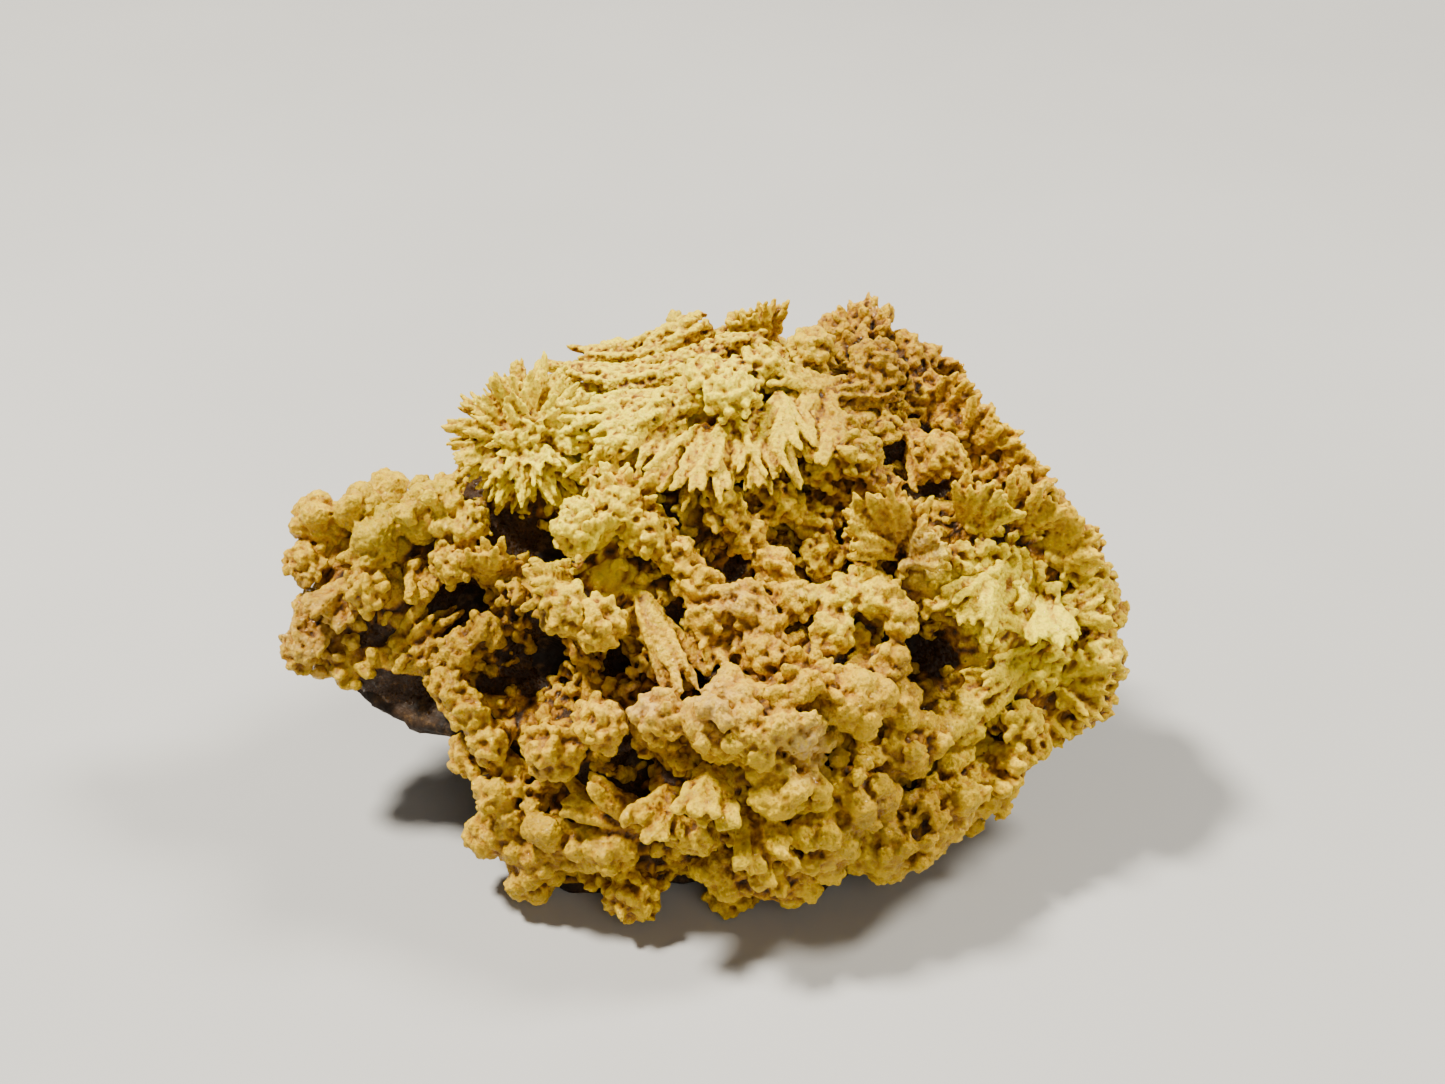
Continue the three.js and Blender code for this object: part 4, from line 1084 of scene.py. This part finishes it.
def mimetite_material():
    g = Graph("mimetite")
    where = g.node("ShaderNodeTexCoord").outputs["Object"]
    grow, rod, shade = g.attribute("grow"), g.attribute("rod"), g.attribute("shade")
    pale, olive = g.attribute("pale"), g.attribute("olive")
    rust, pink, deep = g.attribute("rust"), g.attribute("pink"), g.attribute("deep")
    crevice_tone_and_shade = g.attribute("crevice_tone_and_shade")
    broad, fine = g.noise(where, 3.2), g.noise(where, 0.35, 4)

    # From the roots, which are deep orange-brown, to the tips, which are pale yellow; the dark roots stand
    # partly for painted shade among the crystals. Crevices and places deep under the crust round them are
    # darkened more: painted shade, partly also the crust's own darker brown there.
    age = g.plus(g.times(grow, 0.8), g.times(g.minus(fine, 0.5), 0.3))
    own_shade = g.minus(shade, 0.5)
    for part, share in ((crevice_tone_and_shade, -0.42), (own_shade, 0.12), (deep, -0.36), (rust, -0.14), (pale, 0.14)):
        age = g.plus(age, g.times(part, share))
    colour = g.ramp(
        age,
        (0.0, (0.03, 0.011, 0.001)), (0.24, (0.19, 0.07, 0.001)), (0.48, (0.39, 0.175, 0.001)),
        (0.74, (0.53, 0.295, 0.001)), (1.0, (0.70, 0.45, 0.001)),
    )
    tipward = g.remap(age, 0.36, 0.84, 0.0, 1.0)
    for part, share, own in (
        (pale, 0.8, (0.92, 0.77, 0.003)), (olive, 0.7, (0.34, 0.28, 0.001)), (rust, 0.7, (0.42, 0.20, 0.001)),
    ):
        colour = g.mix(g.times(g.times(part, tipward), share), colour, own)
    caps = g.times(g.remap(fine, 0.35, 0.6, 0.0, 0.7), g.times(pink, tipward))
    colour = g.mix(caps, colour, (0.50, 0.35, 0.26))
    warm = g.times(g.minus(1.0, pale), g.remap(broad, 0.35, 0.65, 0.0, 0.45))
    colour = g.mix(g.times(warm, tipward), colour, (0.56, 0.31, 0.001))
    faces = g.cells(where, 0.13, "Color")
    value = g.plus(0.76, g.times(rod, 0.2))
    value = g.plus(value, g.times(faces, 0.3))
    value = g.minus(value, g.times(rust, 0.34))
    hue = g.node("ShaderNodeHueSaturation", Saturation=1.0, Value=value, Color=colour)
    colour = hue.outputs["Color"]

    # Brown dust in patches between the groups, and a few black specks.
    dust = g.remap(g.noise(where, 0.9, 5, 0.7), 0.54, 0.68, 0.0, 0.6)
    dust = g.times(dust, g.remap(grow, 0.5, 1.0, 1.0, 0.2))
    dust = g.times(dust, g.remap(pale, 0.2, 0.8, 1.0, 0.2))
    colour = g.mix(dust, colour, (0.15, 0.065, 0.004))
    specks = g.remap(g.cells(where, 0.8), 0.05, 0.09, 0.85, 0.0)
    speckled = g.times(specks, g.remap(g.noise(where, 2.3), 0.56, 0.6, 0.0, 1.0))
    colour = g.mix(speckled, colour, (0.03, 0.02, 0.012))

    rough = g.remap(g.noise(where, 1.4, 2), 0.35, 0.65, 0.78, 0.55)
    rough = g.minus(rough, g.times(g.math("MAXIMUM", rust, olive), 0.14))
    glint = g.remap(faces, 0.64, 0.68, 1.0, 0.0)
    rough = g.math("MAXIMUM", g.times(rough, glint), 0.1)
    grain = g.plus(g.noise(where, 0.1, 3), g.times(g.cells(where, 0.26), -1.4))
    bump = g.node("ShaderNodeBump", Strength=0.7, Distance=0.08 * MM, Height=grain)
    # Every tiny crystal face leans its own way.
    lean = g.vector("MULTIPLY", g.vector("SUBTRACT", faces, (0.5, 0.5, 0.5)), (0.55, 0.55, 0.55))
    normal = g.vector("NORMALIZE", g.vector("ADD", bump.outputs["Normal"], lean))
    shader = g.node(
        "ShaderNodeBsdfPrincipled",
        Base_Color=colour, Roughness=rough, Normal=normal,
        Subsurface_Weight=0.2, Subsurface_Radius=(0.9, 0.5, 0.1), Subsurface_Scale=0.35 * MM,
        Specular_IOR_Level=0.28,
    )
    return g.finish(shader.outputs[0])


def matrix_material():
    g = Graph("matrix_rock")
    where = g.node("ShaderNodeTexCoord").outputs["Object"]
    broad, fine = g.noise(where, 2.4, 6, 0.62), g.noise(where, 0.25, 4)
    colour = g.ramp(
        broad, (0.30, (0.006, 0.004, 0.003)), (0.50, (0.018, 0.010, 0.005)), (0.68, (0.055, 0.026, 0.009)),
    )
    dust = g.times(g.remap(g.noise(where, 1.1, 6, 0.7), 0.52, 0.66, 0.0, 0.8), fine)
    colour = g.mix(dust, colour, (0.26, 0.14, 0.045))
    rough = g.remap(fine, 0.35, 0.65, 0.88, 0.5)
    glint = g.remap(g.cells(where, 0.2, "Color"), 0.86, 0.93, 0.0, 0.4)
    rough = g.math("MAXIMUM", g.minus(rough, glint), 0.12)
    height = g.plus(g.noise(where, 0.5, 6, 0.65), g.times(g.cells(where, 0.4), 0.5))
    bump = g.node("ShaderNodeBump", Strength=0.7, Distance=0.15 * MM, Height=height)
    shader = g.node(
        "ShaderNodeBsdfPrincipled", Base_Color=colour, Roughness=rough, Normal=bump.outputs["Normal"],
        Specular_IOR_Level=0.25,
    )
    return g.finish(shader.outputs[0])


def floor_material():
    g = Graph("pale_floor")
    where = g.node("ShaderNodeTexCoord").outputs["Object"]
    colour = g.ramp(g.noise(where, 60, 4), (0.3, (0.42, 0.418, 0.413)), (0.7, (0.47, 0.468, 0.463)))
    shader = g.node("ShaderNodeBsdfPrincipled", Base_Color=colour, Roughness=0.75)
    return g.finish(shader.outputs[0])

# --- the pieces -----------------------------------------------------------------------------------------

mimetite, rock_look = mimetite_material(), matrix_material()
kept = {name: [without_buried(made) for made in all_made] for name, all_made in groups.items()}
front_tips = joined([g for name in kept for g in kept[name] if name not in ("back", "rear")], "tip")
heights = height_map(np.concatenate([crust[way[:, 2] > 0], front_tips]))

made_pieces = []
# The voxels that fuse the crystals of each region; the show face has the finest.
VOXEL, VOXELS = 0.1, {"upper_left": 0.075, "upper_middle": 0.08, "upper_right": 0.085, "rear": 0.15}
GRAIN, GRAIN_SIZE = 0.055, 0.2 # height and width of the grains on every crystal
CLOSING = 0.35 # how far the crystals grow before they are fused, as a share of the voxel
LEAST_PART = 0.05 # cubic millimetres
COLUMNS, ROWS = (-5.6, 5.0), (1.5,) # where the regions of the face meet, in x and in y
CRYSTAL_TRIANGLES = 850_000
POINTED = ("sprays", "ribs", "sheaves", "fans")
BIG_LUMP = 0.5 # balls above this radius are made of more triangles
CRUST_VOXEL = 0.32 # of the crust's body, under the crystals


def region_of(name, place):
    if name in ("back", "rear"):
        return "rear"
    column = ("left", "middle", "right")[int(np.searchsorted(COLUMNS, place[0]))]
    return ("lower_", "upper_")[int(np.searchsorted(ROWS, place[1]))] + column


# The closed solids of each region, each with the crystals it is made of.
regions, together = {}, {}
for name, all_made in kept.items():
    for made in all_made:
        if len(made["tip"]):
            together.setdefault((region_of(name, made["tip"].mean(0)), name in POINTED), []).append(made)
for (region, pointed), all_made in together.items():
    solid = rods_mesh(all_made, 6, NEEDLE_RINGS if pointed else CLUB_RINGS)
    regions.setdefault(region, []).append((solid, all_made))
together = {}
for made in lumps_made:
    big = made["radius"] > BIG_LUMP
    for some, detail in ((big, 6), (~big, 2)):
        part = {key: value[some] for key, value in made.items()}
        if some.any():
            together.setdefault((region_of("lumps", made["centre"][0]), detail), []).append(part)
for (region, detail), all_made in together.items():
    regions.setdefault(region, []).append((balls_mesh(all_made, detail), all_made))

dense = {}
for name, solids in regions.items():
    solids = [solid for solid, _ in solids]
    starts = np.cumsum([0] + [len(solid["points"]) for solid in solids])
    triangles = np.concatenate([solid["triangles"] + at for solid, at in zip(solids, starts)])
    points = joined(solids, "points")
    voxel = VOXELS.get(name, VOXEL)
    # Grown a little, fused and shrunk again, so that the smallest gaps close.
    grown = CLOSING * voxel
    points, triangles = worked(
        kept_above(points, LOWEST_CRUST), triangles,
        ("DISPLACE", {"strength": grown, "mid_level": 0.0}),
        ("REMESH", {"mode": "VOXEL", "voxel_size": voxel}),
        ("SMOOTH", {"factor": 0.5, "iterations": 1}),
        ("DISPLACE", {"strength": -grown, "mid_level": 0.0}),
    )
    points, triangles = whole_parts(points, triangles, LEAST_PART)
    grain = GRAIN * wander(points, GRAIN_SIZE)
    dense[name] = points + normals_of(points, triangles) * grain[:, None], triangles

share = CRYSTAL_TRIANGLES / sum(len(t) for _, t in dense.values())
for name, (points, triangles) in dense.items():
    if share < 1:
        points, triangles = worked(
            points, triangles, ("DECIMATE", {"ratio": share, "use_collapse_triangulate": True})
        )
    values = crystal_values(points, [made for _, all_made in regions[name] for made in all_made])
    # The crevices, which the material darkens: painted shade, partly their own darker brown.
    values["crevice_tone_and_shade"] = crevices(points, triangles)
    made_pieces.append(mesh_piece("crystals_" + name, points, triangles, toned(values, points), mimetite))

crust, crust_triangles = worked(
    crust, crust_triangles, ("REMESH", {"mode": "VOXEL", "voxel_size": CRUST_VOXEL})
)
relief = 0.16 * lumps(crust, 0.7) + 0.12 * wander(crust, 0.5) + 0.05 * wander(crust, 0.2)
crust = crust + normals_of(crust, crust_triangles) * relief[:, None]
# The crust turns dark towards the hollows: painted shade round the bare dark rock.
hollow_shade = np.where(crust[:, 2] > 0, smooth_step(0.0, 0.8, hollow_depth(crust[:, 0], crust[:, 1])), 0)
values = {
    "grow": 0.72 * (1 - hollow_shade), "shade": np.full(len(crust), 0.5), "rod": RNG.random(len(crust)),
    "crevice_tone_and_shade": crevices(crust, crust_triangles) + 2 * hollow_shade,
}
values = toned(values, crust)
made_pieces.append(mesh_piece("crust_body", crust, crust_triangles, values, mimetite))
for piece in made_pieces:
    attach(piece, "root")
    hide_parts("mimetite_crust")

rock_way, rock_triangles = ball_grid(ROCK_DETAIL)
rock = body_point(rock_way, rock_offset(rock_way))
crags = 0.35 * (lumps(rock, 1.7) - 0.5) + 0.3 * wander(rock, 1.2) + 0.14 * wander(rock, 0.4)
rock = kept_above(body_point(rock_way, rock_offset(rock_way) + crags), 0)
matrix = mesh_piece("matrix_rock", rock, rock_triangles, {}, rock_look)
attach(matrix, "root")
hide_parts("matrix")

# --- floor, light and camera ----------------------------------------------------------------------------

FLOOR = 0.9 # half the side of the floor, in metres
floor_mesh = bpy.data.meshes.new("floor")
corners = [(x * FLOOR, y * FLOOR, 0) for x, y in ((-1, -1), (1, -1), (1, 1), (-1, 1))]
floor_mesh.from_pydata(corners, [], [range(4)])
floor_mesh.materials.append(floor_material())
floor = linked("floor", floor_mesh)

world = bpy.data.worlds.new("studio")
bpy.context.scene.world = world
world.use_nodes = True
background = world.node_tree.nodes["Background"].inputs
background["Color"].default_value = (1.0, 0.98, 0.95, 1)
background["Strength"].default_value = 0.04


def aimed(name, data, place, target):
    made = linked(name, data)
    made.location = place
    made.rotation_euler = (Vector(target) - Vector(place)).to_track_quat("-Z", "Y").to_euler()
    return made


def lamp(name, place, size, watts, colour):
    light = bpy.data.lights.new(name, "AREA")
    light.shape, light.size, light.energy, light.color = "DISK", size, watts, colour
    aimed(name, light, place, LIT)


LIT = (0, 0.002, 0.012) # where the lamps point
lamp("key", (-0.15, 0.04, 0.31), 0.05, 3.1, (1.0, 0.95, 0.84))
lamp("side", (0.19, 0.05, 0.24), 0.07, 1.3, (1.0, 0.95, 0.84))
lamp("fill", (0.08, -0.30, 0.22), 0.25, 0.36, (1.0, 0.95, 0.86))

# The camera looks down at the face from the front, 38 degrees above the ground.
VIEW_DOWN = math.radians(38)
DISTANCE = 116.0
IMAGE_WIDTH = 1445
SENSOR = 36
FOCUS_PIXELS = 2190.0 # focal length in the image's pixels
AIM_RIGHT, AIM_UP = 1.19, 3.71 # the image's middle, from the middle of the body, in millimetres
forward = np.array((0, math.cos(VIEW_DOWN), -math.sin(VIEW_DOWN)))
upward = np.array((0, math.sin(VIEW_DOWN), math.cos(VIEW_DOWN)))
eye = (FACE_CENTRE - DISTANCE * forward) * MM
look_at = (FACE_CENTRE + AIM_RIGHT * np.array((1, 0, 0)) + AIM_UP * upward) * MM
camera_data = bpy.data.cameras.new("camera")
camera_data.sensor_fit = "HORIZONTAL"
camera_data.sensor_width = SENSOR
camera_data.lens = SENSOR * FOCUS_PIXELS / IMAGE_WIDTH
camera_data.clip_start = 0.005
bpy.context.scene.camera = aimed("camera", camera_data, eye, look_at)
